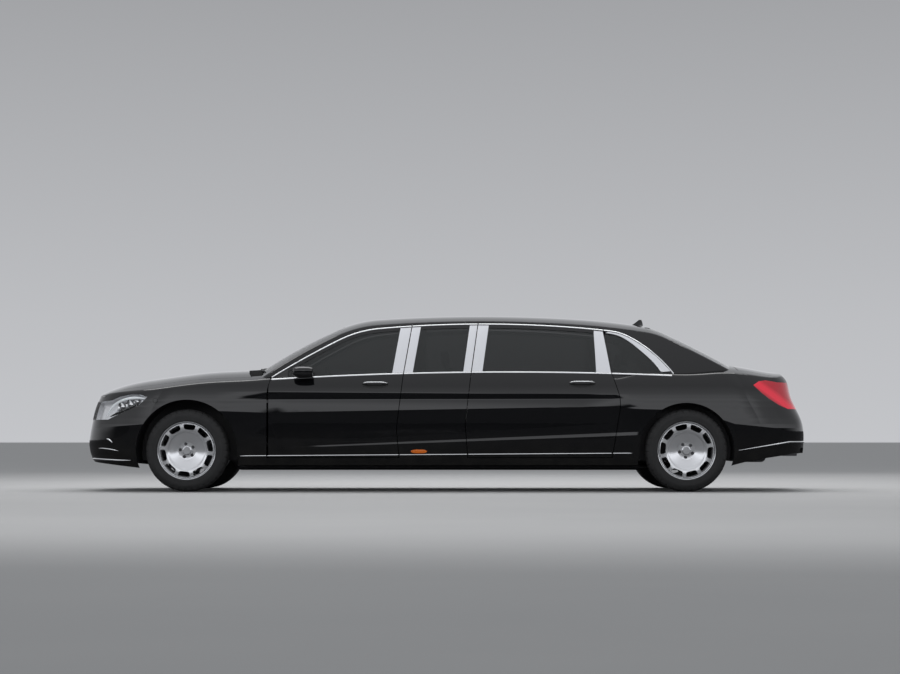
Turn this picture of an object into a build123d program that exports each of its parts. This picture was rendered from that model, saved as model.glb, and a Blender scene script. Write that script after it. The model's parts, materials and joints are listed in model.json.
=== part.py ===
"""Long-wheelbase armoured stretch limousine, four doors with a fixed middle panel on each side.

Millimetres, +Z up. The nose points along -X, the car's left side faces -Y, and the origin is on
the ground under the middle of the car. Pieces of the right side are mirrored from the left.
"""
from build123d import *
import math
import os

os.makedirs("parts", exist_ok=True)

# Running gear sizes
FRONT_AXLE_X = -2295
REAR_AXLE_X = 2123
TYRE_RADIUS = 365
TYRE_WIDTH = 245
WHEEL_Y = 812
RIM_RADIUS = 252
BEAD_RADIUS = 234
RIM_BORE = 30.3
STUB_RADIUS = 30
KINGPIN_Y = 745
FRONT_ARCH_RADIUS = 450
REAR_ARCH_RADIUS = 422
REAR_WELL_Y = 620
LINER_WALL = 6

# Shell thicknesses and panel gaps
DOOR_WALL = 110
PANEL_WALL = 28
ROOF_WALL = 45
SKIN_LAYER = 12
EDGE_STEP = 30
LOWER_STEP = 20
DOOR_LEAD_DEPTH = 260
SHUT_GAP = 6
FRAME_BAND = 12
GLASS_SINK = 4
GLASS_WALL = 6

# Heights of the lower body
SILL_BOTTOM = 235
DOOR_BOTTOM = 305
FLOOR_TOP = 290
FLOOR_WALL = 40

# Hinge arms
HINGE_Y = 950
ARM_RADIUS = 70
ARM_DEPTH = 12
ARM_HEIGHT = 26
ARM_PLAY = 0.3
ARM_HEIGHTS = (430, 800)
ARM_START, ARM_STOP = 55, 98
ARM_SPARE = 4
DOOR_SWING = 62
BONNET_AXIS = (-1722, 1108)
BOOT_AXIS = (2596, 1152)
LID_ARM_Y = 600
LID_ARM_WIDTH = 16
BONNET_ARM = (120, 217, 290)
BOOT_ARM = (110, 200, 310)

# Lower body cut at levels: height, nose x, tail x, half width, front and rear corner radius
SLICES = [
    (150, -3060, 3120, 868, 480, 380),
    (240, -3180, 3205, 905, 520, 400),
    (310, -3232, 3236, 926, 540, 420),
    (460, -3250, 3250, 944, 560, 430),
    (620, -3226, 3236, 941, 575, 440),
    (800, -3176, 3152, 949, 600, 450),
    (930, -3110, 3117, 930, 620, 470),
    (1060, -3030, 3035, 880, 640, 500),
    (1190, -2930, 2930, 815, 640, 500),
]
END_BOW = 110
SIDE_BARREL = 18

# Crown of the bonnet and of the boot deck: x, height on the centre line
BONNET_LINE = [(-3330, 795), (-3139, 883), (-2918, 966), (-2640, 1019), (-2270, 1068),
               (-1904, 1093), (-1690, 1104), (-1400, 1112)]
DECK_LINE = [(1400, 1129), (1700, 1132), (2000, 1135), (2300, 1139), (2600, 1141), (2800, 1108),
             (3000, 1078), (3330, 1040)]
BONNET_CROWN = 115
DECK_CROWN = 100
CROWN_AT = 900

# Roof profile on the centre line, and the window outline seen from the side: an arc through
# three points, then tangent arcs to each further point forwards and rearwards
ROOF_ARC = [(-610, 1567), (300, 1597), (1230, 1567)]
ROOF_FRONT = [(-982, 1478), (-1700, 1086), (-2010, 860)]
ROOF_REAR = [(1783, 1505), (1970, 1449), (2595, 1132), (3040, 860)]
WINDOW_ARC = [(-593, 1446), (211, 1486), (1193, 1451)]
WINDOW_FRONT = [(-951, 1343), (-1567, 995)]
WINDOW_REAR = [(1461, 1424), (1640, 1366), (2015, 1040)]
BELT_ARC = [(-1555, 991), (475, 1057), (2000, 1026)]
ROOF_CROWN = 138

# Tumblehome of the cabin: x, half width at the low, middle and high level
CABIN_LEVELS = (950, 1270, 1650)
CABIN_SIDES = [
    (-2100, 780, 680, 480),
    (-1300, 885, 770, 552),
    (-300, 907, 790, 572),
    (800, 907, 790, 572),
    (1800, 884, 764, 548),
    (2300, 815, 700, 500),
    (3000, 640, 540, 380),
]

# Shut lines seen from the side, from roof to sill
FRONT_DOOR_LEAD = [(-1540, 1600), (-1553, 1010), (-1587, 900), (-1587, 150)]
FRONT_DOOR_REAR = [(-286, 1600), (-381, 1043), (-442, 560), (-405, 150)]
REAR_DOOR_LEAD = [(298, 1600), (218, 1043), (166, 600), (200, 150)]
REAR_DOOR_REAR = [(1374, 1600), (1464, 1057), (1548, 800), (1440, 150)]
SHUT_RADIUS = 380

# How far the panes stand inside the window outline
GLASS_FRAME = 26

# Rounding of the shoulders along the bonnet and the boot, and of the roof's edges
SHOULDER_RADIUS = 40
ROOF_EDGE_RADIUS = 40

# Swage low on the side, a ledge that widens to the rear: x, height of its outer edge, how tall
# and how deep it is there, and how far above it the hollow runs out
SWAGE = [
    (-1390, 441, 2, 0.5, 40),
    (1760, 466, 38, 9, 200),
]

# Exhaust: pipes under the floor, a silencer across the tail and flat tips in the bumper
PIPE_RADIUS = 27
PIPE_Y = 250
PIPE_HEIGHT = 213
ENGINE_REAR, ENGINE_LOW = -1900, 300
SILENCER = (2600, 2850, 700, 262, 382)
TIP_WIDTH, TIP_HEIGHT, TIP_WALL = 150, 66, 5
TIP_Y, TIP_LEVEL = 630, 350
TIP_END = 3128
TIP_GAP = 5


def block(x0, x1, y0, y1, z0, z1):
    """A box between two corners."""
    size = (x1 - x0, y1 - y0, z1 - z0)
    middle = ((x0 + x1) / 2, (y0 + y1) / 2, (z0 + z1) / 2)
    return Pos(*middle) * Box(*size)


def side_prism(face, near, far):
    """A side-view face stretched over the left side, from y = -near to y = -far."""
    return extrude(Plane.XZ.offset(near) * face, amount=far - near)


def front_prism(face, x0, x1):
    """A front-view face (y, z) stretched from x0 to x1."""
    return extrude(Plane(origin=(x0, 0, 0), x_dir=(0, 1, 0), z_dir=(1, 0, 0)) * face, amount=x1 - x0)


def plan_prism(face, z0, z1):
    """A plan-view face stretched from z0 to z1."""
    return extrude(Pos(0, 0, z0) * face, amount=z1 - z0)


def polygon(points):
    return make_face(Polyline(*points, close=True))


def right(shape):
    """The mirrored piece of the car's right side."""
    return mirror(shape, about=Plane.XZ)


def pair(shape):
    """The left piece and its mirror image."""
    return solids_of(shape) + solids_of(right(shape))


def solids_of(shape):
    if isinstance(shape, (list, tuple)):
        found = []
        for item in shape:
            found += solids_of(item)
        return found
    return [s for s in shape.solids() if s.volume > 200]


def y_cylinder(x, z, radius, near, far):
    """A cylinder on the left side along Y, from y = -near to y = -far."""
    return side_prism(Pos(x, z) * Circle(radius), near, far)


def tangent_chain(arc, front, rear, inset):
    """Edges of an arc with tangent arcs running on at both ends, moved inwards by the inset."""
    start, middle, end = [Vector(*p) for p in arc]
    base = ThreePointArc(start, middle, end)
    runs = []
    for points, first, sign in ((front, start, -1), (rear, end, 1)):
        at = 0 if sign < 0 else 1
        angle = math.atan2((base % at).Y, (base % at).X)
        knots = [(first, angle)]
        for point in points:
            last, angle = knots[-1]
            target = Vector(*point)
            chord = math.atan2(sign * (target - last).Y, sign * (target - last).X)
            knots.append((target, 2 * chord - angle))
        runs.append([p - Vector(-math.sin(a), math.cos(a)) * inset for p, a in knots])
        runs[-1] = list(zip(runs[-1], [a for p, a in knots]))
    middle = middle - Vector(-math.sin(0), math.cos(0)) * inset
    edges = [ThreePointArc(runs[0][0][0], middle, runs[1][0][0])]
    for run, sign in ((runs[0], -1), (runs[1], 1)):
        for (p, a), (q, b) in zip(run, run[1:]):
            heading = Vector(sign * math.cos(a), sign * math.sin(a))
            edges.append(TangentArc(p, q, tangent=heading))
    return edges, runs[0][-1][0], runs[1][-1][0]


def under_chain(arc, front, rear, inset, floor, lift=0, shift=0):
    """The side-view face below a tangent chain, down to the floor height."""
    edges, first, last = tangent_chain(arc, front, rear, inset)
    edges.append(Polyline(first, (first.X, floor), (last.X, floor), last))
    outline = edges[0]
    for edge in edges[1:]:
        outline += edge
    return Pos(shift, lift) * make_face(outline)


def plan_slice(level, nose, tail, half, front_r, rear_r, inset):
    """One level of the lower body: four bowed sides with rounded corners."""
    nose, tail, half = nose + inset, tail - inset, half - inset
    edge = half - SIDE_BARREL
    near, far = nose + END_BOW, tail - END_BOW
    outline = ThreePointArc((near, -edge), (nose, 0), (near, edge))
    outline += ThreePointArc((near, edge), (0, half), (far, edge))
    outline += ThreePointArc((far, edge), (tail, 0), (far, -edge))
    outline += ThreePointArc((far, -edge), (0, -half), (near, -edge))
    face = make_face(outline)
    face = fillet(face.vertices().group_by(Axis.X)[0], front_r - inset)
    face = fillet(face.vertices().group_by(Axis.X)[-1], rear_r - inset)
    return Pos(0, 0, level) * face


def body_volume(inset):
    return loft([plan_slice(*row, inset) for row in SLICES])


def crown_volume(line, crown, drop):
    """All that lies below a crowned surface that follows a line of heights."""
    reach = 1100
    fall = crown * (reach / CROWN_AT) ** 2
    sections = []
    for x, height in line:
        top = height - drop
        outline = Polyline((-reach, top - fall), (-reach, 100), (reach, 100), (reach, top - fall))
        outline += ThreePointArc((-reach, top - fall), (0, top), (reach, top - fall))
        sections.append(Plane(origin=(x, 0, 0), x_dir=(0, 1, 0), z_dir=(1, 0, 0)) * make_face(outline))
    return loft(sections)


def cabin_volume(inset):
    """The cabin above the belt, moved inwards by the inset."""
    sections = []
    for y in (-900, 0, 900):
        drop = -ROOF_CROWN * (y / 900) ** 2
        face = under_chain(ROOF_ARC, ROOF_FRONT, ROOF_REAR, inset, 700, drop)
        sections.append(Plane.XZ.offset(-y) * face)
    profile = loft(sections)
    low, mid, high = CABIN_LEVELS
    lean = inset / math.cos(math.radians(24))
    sections = []
    for x, wide, waist, top in CABIN_SIDES:
        a, b, c = wide - lean, waist - lean, top - lean
        outline = Polyline((-a, low), (-a, 700), (a, 700), (a, low))
        outline += ThreePointArc((a, low), (b, mid), (c, high))
        outline += Line((c, high), (-c, high))
        outline += ThreePointArc((-c, high), (-b, mid), (-a, low))
        sections.append(Plane(origin=(x, 0, 0), x_dir=(0, 1, 0), z_dir=(1, 0, 0)) * make_face(outline))
    return profile & loft(sections)


def ahead_of(points, shift):
    """The side-view face in front of a shut line."""
    line = FilletPolyline(*points, radius=SHUT_RADIUS)
    back = Polyline(points[-1], (-3400, points[-1][1]), (-3400, points[0][1]), points[0])
    return Pos(shift, 0) * make_face(line + back)


def behind_of(points, shift):
    """The side-view face behind a shut line."""
    line = FilletPolyline(*points, radius=SHUT_RADIUS)
    back = Polyline(points[-1], (3400, points[-1][1]), (3400, points[0][1]), points[0])
    return Pos(shift, 0) * make_face(line + back)


def between(lead, rear, inset):
    """The side-view face of a panel between two shut lines."""
    side = SHUT_GAP / 2 + inset
    return behind_of(lead, side) & ahead_of(rear, -side)


def below_belt(lower=0):
    """The side-view face below the belt line."""
    a, b, c = BELT_ARC
    line = ThreePointArc((a[0], a[1] - lower), (b[0], b[1] - lower), (c[0], c[1] - lower))
    line += Polyline((c[0], c[1] - lower), (3400, c[1] - lower), (3400, 100), (-3400, 100),
                     (-3400, a[1] - lower), (a[0], a[1] - lower))
    return make_face(line)


def above(height):
    return polygon([(-3400, height), (3400, height), (3400, 2000), (-3400, 2000)])


def window_face(grow):
    """The side-view face below the window outline."""
    return under_chain(WINDOW_ARC, WINDOW_FRONT, WINDOW_REAR, -grow, 100)


def arc_sector(radius, depth, start, stop):
    """A flat ring sector about the origin, angles in degrees."""
    inner, outer = radius - depth / 2, radius + depth / 2
    ends = []
    for r in (inner, outer):
        for angle in (start, (start + stop) / 2, stop):
            a = math.radians(angle)
            ends.append((r * math.cos(a), r * math.sin(a)))
    outline = ThreePointArc(*ends[:3]) + Line(ends[2], ends[5])
    outline += ThreePointArc(ends[5], ends[4], ends[3]) + Line(ends[3], ends[0])
    return make_face(outline)


def side_at(x, height):
    """Half width of the lower body at a place on its straight side."""
    low, high = [pair for pair in zip(SLICES, SLICES[1:]) if pair[0][0] <= height <= pair[1][0]][0]
    share = (height - low[0]) / (high[0] - low[0])
    half = low[3] + share * (high[3] - low[3])
    return half - SIDE_BARREL * (x / (high[2] - END_BOW)) ** 2


def swage_tool():
    """What the swage and the hollow above it take off the left side."""
    sections = []
    for x, low, tall, deep, fade in SWAGE:
        inner, top = low + tall, low + tall + fade
        outline = [(-side_at(x, low), low), (deep - side_at(x, inner), inner), (-side_at(x, top), top),
                   (-1000, top), (-1000, low)]
        sections.append(Plane(origin=(x, 0, 0), x_dir=(0, 1, 0), z_dir=(1, 0, 0)) * polygon(outline))
    return loft(sections, ruled=True)


def round_over(shape, middles, radius):
    """Rounds the upper edges whose middles, as x and distance from the centre plane, are listed."""
    chosen = []
    for edge in shape.edges():
        centre = edge.center()
        reach = min(math.hypot(centre.X - x, abs(centre.Y) - y) for x, y in middles)
        if reach < EDGE_SEARCH and centre.Z > ROUNDED_ABOVE:
            chosen.append(edge)
    return fillet(chosen, radius)


# Middles of the edges that are rounded, as x and distance from the centre plane
EDGE_SEARCH, ROUNDED_ABOVE = 60, 800
FRONT_SHOULDERS = [(-2915, 776), (-1945, 906)]
REAR_SHOULDERS = [(1958, 878), (2882, 767)]
ROOF_EDGES = [(-1347, 800), (-802, 693), (310, 654), (1507, 682), (1879, 693), (2284, 729)]

print("volumes")
SWAGE_TOOL = swage_tool()
BODY = body_volume(0) - [SWAGE_TOOL, right(SWAGE_TOOL)]
BODY_THIN = body_volume(PANEL_WALL)
BODY_SKIN = body_volume(SKIN_LAYER)
BODY_THICK = body_volume(DOOR_WALL)
BONNET_TOP = crown_volume(BONNET_LINE, BONNET_CROWN, 0)
BONNET_UNDER = crown_volume(BONNET_LINE, BONNET_CROWN, PANEL_WALL)
DECK_TOP = crown_volume(DECK_LINE, DECK_CROWN, 0)
DECK_UNDER = crown_volume(DECK_LINE, DECK_CROWN, PANEL_WALL)
CABIN_PLAIN = cabin_volume(0)
CABIN = round_over(CABIN_PLAIN, ROOF_EDGES, ROOF_EDGE_RADIUS)
CABIN_SKIN = cabin_volume(SKIN_LAYER)
CABIN_IN = cabin_volume(ROOF_WALL)
CABIN_GLASS_OUT = cabin_volume(GLASS_SINK)
CABIN_GLASS_IN = cabin_volume(GLASS_SINK + GLASS_WALL)

LEFT = block(-3400, 3400, -1200, 0, 0, 2000)
RIGHT = block(-3400, 3400, 0, 1200, 0, 2000)
LOWER_WALL = BODY - [BODY_THICK, RIGHT]
LOWER_SKIN = BODY - [BODY_SKIN, RIGHT]
CABIN_WALL = CABIN_PLAIN - [CABIN_IN, RIGHT]
CABIN_OUTER = CABIN_PLAIN - [CABIN_SKIN, RIGHT]


def door(lead, rear, glass_face):
    """A door: skin over a deep box below the belt, and a framed window above it."""
    outer = between(lead, rear, 0) & window_face(FRAME_BAND) & above(DOOR_BOTTOM)
    inner = between(lead, rear, EDGE_STEP) + (between(lead, rear, 0) & ahead_of(lead, DOOR_LEAD_DEPTH))
    inner = inner & window_face(FRAME_BAND - EDGE_STEP) & above(DOOR_BOTTOM + LOWER_STEP)
    skin = LOWER_SKIN & side_prism(outer & below_belt(), 500, 1200)
    box = LOWER_WALL & side_prism(inner & below_belt(), 500, 1200)
    frame = CABIN_OUTER & side_prism(outer & above(960), 300, 1200)
    lining = CABIN_WALL & side_prism(inner & above(960), 300, 1200)
    body = (skin + [box, frame, lining]) - side_prism(glass_face, 300, 1200)
    return body + [hinge_arm(lead, level, 0) for level in ARM_HEIGHTS]


def hinge_arm(lead, level, play):
    """A curved hinge arm about the door's axis, or the slot for it when it has play."""
    more = ARM_SPARE if play else 0
    face = arc_sector(ARM_RADIUS, ARM_DEPTH + 2 * play, ARM_START - more, ARM_STOP + DOOR_SWING + more)
    arm = plan_prism(face, level - ARM_HEIGHT / 2 - play, level + ARM_HEIGHT / 2 + play)
    return Pos(hinge_x(lead), -HINGE_Y, 0) * arm


def hinge_x(lead):
    """The door's hinge axis lies on its leading edge at the skin."""
    points = [p for p in lead if 300 < p[1] < 950]
    return points[0][0]


def glass_between(lead, rear, lead_post, rear_post, raise_belt=14):
    """The side-view face of a window between two shut lines, inside its frame."""
    face = behind_of(lead, lead_post) & ahead_of(rear, -rear_post)
    return (face & window_face(-GLASS_FRAME)) - below_belt(-raise_belt)


def export(name, shape):
    found = solids_of(shape)
    export_step(Compound(children=found) if len(found) > 1 else found[0], "parts/" + name + ".step")
    print(name, len(found), round(sum(s.volume for s in found) / 1e6, 2))
    return found


def lid_arm(axis, radius, start, stop, play=0):
    """A curved arm under a lid, about the lid's axis across the car, or its slot with play."""
    face = Pos(*axis) * arc_sector(radius, ARM_DEPTH + 2 * play, start, stop)
    arm = side_prism(face, LID_ARM_Y - play, LID_ARM_Y + LID_ARM_WIDTH + play)
    return arm + right(arm)


print("outer panels")
CABIN_PANE = CABIN_GLASS_OUT - CABIN_GLASS_IN
FRONT_FULL = round_over(BODY & BONNET_TOP, FRONT_SHOULDERS, SHOULDER_RADIUS)
REAR_FULL = round_over(BODY & DECK_TOP, REAR_SHOULDERS, SHOULDER_RADIUS)
FRONT_SHELL = (FRONT_FULL - (BODY_THIN & BONNET_UNDER)) & block(-3400, -1500, -1200, 1200, 0, 1400)
REAR_SHELL = (REAR_FULL - (BODY_THIN & DECK_UNDER)) & block(1420, 3400, -1200, 1200, 0, 1400)
SILL_TOP = DOOR_BOTTOM - SHUT_GAP
POST_FRONT = polygon([(-1700, SILL_TOP), (-1500, SILL_TOP), (-1500, 930), (-1700, 930)])
POST_REAR = polygon([(1400, SILL_TOP), (1689.7, SILL_TOP), (1689.7, 1400), (1400, 1400)])

# Bonnet and boot lid seen from above, with their lower limits
BONNET_REAR, BONNET_MID, BONNET_HALF = -1738, -1812, 768
BONNET_FRONT_HALF = 640
BONNET_LIP = 848
BOOT_FRONT, BOOT_HALF, BOOT_TAIL_HALF = 2606, 700, 560
BOOT_LIP = 745


def bonnet_plan(grow):
    """The bonnet's outline from above."""
    rear, half = BONNET_REAR + grow, BONNET_HALF + grow
    front = BONNET_FRONT_HALF + grow
    line = ThreePointArc((rear, half), (BONNET_MID + grow, 0), (rear, -half))
    line += Polyline((rear, -half), (-2700, -front - 95), (-3050, -front), (-3400, -front + 70),
                     (-3400, front - 70), (-3050, front), (-2700, front + 95), (rear, half))
    return make_face(line)


def boot_plan(grow):
    """The boot lid's outline from above."""
    front, half, tail = BOOT_FRONT - grow, BOOT_HALF + grow, BOOT_TAIL_HALF + grow
    return polygon([(front, -half), (2940, -half + 20), (3035, -tail), (3400, -tail),
                    (3400, tail), (3035, tail), (2940, half - 20), (front, half)])


bonnet = FRONT_SHELL & plan_prism(bonnet_plan(0), BONNET_LIP, 1300)
bonnet = bonnet + lid_arm(BONNET_AXIS, *BONNET_ARM)
bonnet_cut = plan_prism(bonnet_plan(SHUT_GAP), BONNET_LIP - SHUT_GAP, 1300)
boot_lid = REAR_SHELL & plan_prism(boot_plan(0), BOOT_LIP, 1300)
boot_lid = boot_lid + lid_arm(BOOT_AXIS, *BOOT_ARM)
boot_cut = plan_prism(boot_plan(SHUT_GAP), BOOT_LIP - SHUT_GAP, 1300)

# Lamps, seen from the side, running round the corners towards the middle
HEADLAMP = [(-3400, 640), (-3009, 640), (-2902, 690), (-2813, 726), (-2715, 770), (-2644, 838),
            (-2706, 860), (-2786, 862), (-2902, 842), (-2973, 812), (-3100, 800), (-3400, 800)]
HEADLAMP_INNER = 420
TAIL_LAMP = [(2717, 944), (2770, 979), (2833, 988), (2948, 972), (3400, 972), (3400, 735),
             (3037, 735), (2948, 770), (2859, 823), (2788, 877)]
TAIL_LAMP_INNER = BOOT_TAIL_HALF + SHUT_GAP
headlamp_tool = side_prism(polygon(HEADLAMP), HEADLAMP_INNER, 1100)
tail_lamp_tool = side_prism(polygon(TAIL_LAMP), TAIL_LAMP_INNER, 1100)
headlamp = (FRONT_FULL & LEFT & headlamp_tool) - BODY_THICK
tail_lamp = (REAR_FULL & LEFT & tail_lamp_tool) - BODY_THICK - boot_cut

# Bumpers: everything below these lines, seen from the side
FRONT_BUMPER = [(-3400, 100), (-3400, 900), (-3060, 900), (-3030, 640), (-3009, 640), (-2902, 690),
                (-2813, 726), (-2715, 768), (-2530, 733), (-2300, 700), (-2300, 100)]
REAR_BUMPER = [(2200, 100), (2200, 640), (2418, 644), (2595, 689), (2816, 715), (2900, BOOT_LIP - SHUT_GAP),
               (3400, BOOT_LIP - SHUT_GAP), (3400, 100)]
UNDER_FRONT = [(-3400, 50), (-3400, 262), (-3200, 266), (-2664, 206), (-2300, 206), (-2300, 50)]
UNDER_REAR = [(2200, 50), (2200, 222), (2483, 222), (2642, 264), (2775, 291), (2952, 317),
              (3058, 335), (3400, 352), (3400, 50)]
GRILLE_HALF, GRILLE_LOW, GRILLE_HIGH = 335, 596, BONNET_LIP - SHUT_GAP
INTAKE_HALF, INTAKE_LOW, INTAKE_HIGH = 520, 300, 405
grille_tool = front_prism(Pos(0, (GRILLE_LOW + GRILLE_HIGH) / 2)
                          * RectangleRounded(2 * GRILLE_HALF, GRILLE_HIGH - GRILLE_LOW, 40), -3400, -2900)
intake_tool = front_prism(Pos(0, (INTAKE_LOW + INTAKE_HIGH) / 2)
                          * RectangleRounded(2 * INTAKE_HALF, INTAKE_HIGH - INTAKE_LOW, 30), -3400, -2900)
tip_hole = RectangleRounded(TIP_WIDTH + 2 * TIP_GAP, TIP_HEIGHT + 2 * TIP_GAP, TIP_HEIGHT / 2 - 4)
tip_place = front_prism(Pos(-TIP_Y, TIP_LEVEL) * tip_hole, 2900, 3400)
FRONT_SIDE_HOLES = [Pos(FRONT_AXLE_X, TYRE_RADIUS) * Circle(FRONT_ARCH_RADIUS), polygon(HEADLAMP)]
REAR_SIDE_HOLES = [Pos(REAR_AXLE_X, TYRE_RADIUS) * Circle(REAR_ARCH_RADIUS), polygon(TAIL_LAMP)]


def bumper_block(outline, under, side_holes, lamp_inner):
    """The space of a bumper: its side view, with the lamps and arches cut from both sides."""
    face = polygon(outline) - polygon(under)
    side = side_prism(face - side_holes, lamp_inner, 1200)
    return side_prism(face, -lamp_inner, lamp_inner) + [side, right(side)]


front_bumper = FRONT_SHELL & bumper_block(FRONT_BUMPER, UNDER_FRONT, FRONT_SIDE_HOLES, HEADLAMP_INNER)
front_bumper = front_bumper - [bonnet_cut, grille_tool, intake_tool]
rear_bumper = REAR_SHELL & bumper_block(REAR_BUMPER, UNDER_REAR, REAR_SIDE_HOLES, TAIL_LAMP_INNER)
rear_bumper = rear_bumper - [boot_cut, tip_place, right(tip_place)]

wing_side = ahead_of(FRONT_DOOR_LEAD, -SHUT_GAP / 2)
wing_face = (wing_side & above(SILL_TOP)) - [polygon(FRONT_BUMPER), *FRONT_SIDE_HOLES]
front_wing = (FRONT_SHELL & side_prism(wing_face, 300, 1200)) - bonnet_cut
hinge_post = LOWER_WALL & side_prism(wing_side & POST_FRONT, 300, 1200)
front_wing = (front_wing + hinge_post) - [block(-1830, -1500, -745, 745, 900, 1400)]
front_wing = front_wing - [hinge_arm(FRONT_DOOR_LEAD, level, ARM_PLAY) for level in ARM_HEIGHTS]

quarter_side = behind_of(REAR_DOOR_REAR, SHUT_GAP / 2)
quarter_face = (quarter_side & above(SILL_TOP)) - [polygon(REAR_BUMPER), *REAR_SIDE_HOLES]
quarter_low = REAR_SHELL & side_prism(quarter_face, 300, 1200)
quarter_post = (REAR_FULL & side_prism(quarter_side & POST_REAR, 300, 1200)) - BODY_THICK
quarter_low = (quarter_low + quarter_post) - [boot_cut, CABIN_IN]
ROOF_SEAM = (1600, 1360)
upper_face = quarter_side & (window_face(FRAME_BAND) + polygon([ROOF_SEAM, (3000, ROOF_SEAM[1]),
                                                                (3000, 900), (ROOF_SEAM[0], 900)]))
REAR_GLASS = [(-700, 1128), (700, 1128), (560, 1482), (-560, 1482)]
SCREEN_GLASS = [(-738, 1000), (738, 1000), (592, 1492), (-592, 1492)]
rear_glass_tool = front_prism(polygon(REAR_GLASS), 1800, 2700)
screen_tool = front_prism(polygon(SCREEN_GLASS), -1900, -930)
quarter_glass_face = behind_of(REAR_DOOR_REAR, 14) & window_face(-GLASS_FRAME)
quarter_glass_face = quarter_glass_face - below_belt(-14)
pillar = polygon([(1300, 1000), (BOOT_FRONT - 14, 1000), (BOOT_FRONT - 14, 1400), (1300, 1400)])
quarter_high = (CABIN - CABIN_IN) & side_prism(upper_face & pillar, 200, 1200)
boot_slot = lid_arm(BOOT_AXIS, BOOT_ARM[0], BOOT_ARM[1] - 4, BOOT_ARM[2], ARM_PLAY)
quarter_glass_tool = side_prism(quarter_glass_face, 200, 1200)
rear_quarter = (quarter_low + quarter_high) - [rear_glass_tool, quarter_glass_tool, boot_slot]

middle_face = between(FRONT_DOOR_REAR, REAR_DOOR_LEAD, 0) & window_face(FRAME_BAND) & above(SILL_TOP)
middle_glass_face = glass_between(FRONT_DOOR_REAR, REAR_DOOR_LEAD, 66, 84)
middle_panel = (LOWER_WALL & side_prism(middle_face & below_belt(), 500, 1200))
middle_panel = middle_panel + (CABIN_WALL & side_prism(middle_face & above(960), 300, 1200))
middle_panel = middle_panel - side_prism(middle_glass_face, 300, 1200)
middle_panel = middle_panel - [hinge_arm(REAR_DOOR_LEAD, level, ARM_PLAY) for level in ARM_HEIGHTS]

roof = (CABIN - CABIN_IN) & block(-1800, BOOT_FRONT - 14, -1200, 1200, 1000, 1700)
door_hole = window_face(FRAME_BAND + SHUT_GAP) & ahead_of(REAR_DOOR_REAR, SHUT_GAP / 2)
side_tool = side_prism(door_hole + upper_face, 300, 1200)
roof = roof - [side_tool, right(side_tool), screen_tool, rear_glass_tool]
roof = roof - [FRONT_FULL, REAR_FULL, boot_slot]
windscreen = (CABIN_PANE & screen_tool) - FRONT_FULL
rear_window = CABIN_PANE & rear_glass_tool

front_door_glass = glass_between(FRONT_DOOR_LEAD, FRONT_DOOR_REAR, 90, 62)
rear_door_glass = glass_between(REAR_DOOR_LEAD, REAR_DOOR_REAR, 62, 66)
front_door = door(FRONT_DOOR_LEAD, FRONT_DOOR_REAR, front_door_glass)
rear_door = door(REAR_DOOR_LEAD, REAR_DOOR_REAR, rear_door_glass)
PANE_LEFT = CABIN_PANE & LEFT

SILL_FRONT = FRONT_AXLE_X + FRONT_ARCH_RADIUS + LINER_WALL
SILL_REAR = REAR_AXLE_X - REAR_ARCH_RADIUS - LINER_WALL
sill = LOWER_WALL & block(SILL_FRONT, SILL_REAR, -1200, 0, SILL_BOTTOM, SILL_TOP)
cowl = BONNET_TOP & block(-1830, -1500, -745, 745, 985, 1200)
cowl_under = crown_volume(BONNET_LINE, BONNET_CROWN, 40)
guide = block(-1805, -1735, -640, -585, 962, 975) + block(-1805, -1776, -640, -585, 962, 1003)
guide = guide + block(-1757, -1737, -640, -585, 962, 1040)
guide = guide & cowl_under
bonnet_slot = lid_arm(BONNET_AXIS, *BONNET_ARM, ARM_PLAY)
guides = guide + right(guide) - bonnet_slot
cowl = cowl - [bonnet_cut, CABIN, cowl_under] + guides

export("bonnet", bonnet)
export("boot_lid", boot_lid)
export("front_bumper", front_bumper)
export("rear_bumper", rear_bumper)
export("front_wings", pair(front_wing))
export("rear_quarters", pair(rear_quarter))
export("middle_panels", pair(middle_panel))
export("roof", roof)
export("windscreen", windscreen)
export("rear_window", rear_window)
export("headlamps", pair(headlamp))
export("tail_lamps", pair(tail_lamp))
export("sills", pair(sill))
export("cowl", cowl)
export("door_front_left", front_door)
export("door_front_right", right(front_door))
export("door_rear_left", rear_door)
export("door_rear_right", right(rear_door))

for name, face in (("front", front_door_glass), ("rear", rear_door_glass)):
    pane = PANE_LEFT & side_prism(face, 300, 1200)
    export(f"glass_{name}_left", pane)
    export(f"glass_{name}_right", right(pane))
fixed_glass = [PANE_LEFT & side_prism(face, 300, 1200) for face in (middle_glass_face, quarter_glass_face)]
export("fixed_side_glass", [pair(pane) for pane in fixed_glass])

# Grille: a frame with level bars on a few uprights
GRILLE_BARS = 7
GRILLE_BAR, GRILLE_WALL = 9, 22
grille = (FRONT_SHELL & grille_tool) - bonnet_cut
grille_height = GRILLE_HIGH - GRILLE_LOW - 2 * GRILLE_WALL
pitch = (grille_height + GRILLE_BAR) / GRILLE_BARS
slots = []
for i in range(GRILLE_BARS):
    low = GRILLE_LOW + GRILLE_WALL + i * pitch
    half = GRILLE_HALF - GRILLE_WALL
    for near, far in ((-half, -7), (7, half)):
        slots.append(block(-3400, -2900, near, far, low, low + pitch - GRILLE_BAR))
grille = grille - slots
export("grille", grille)

print("running gear")


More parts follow.
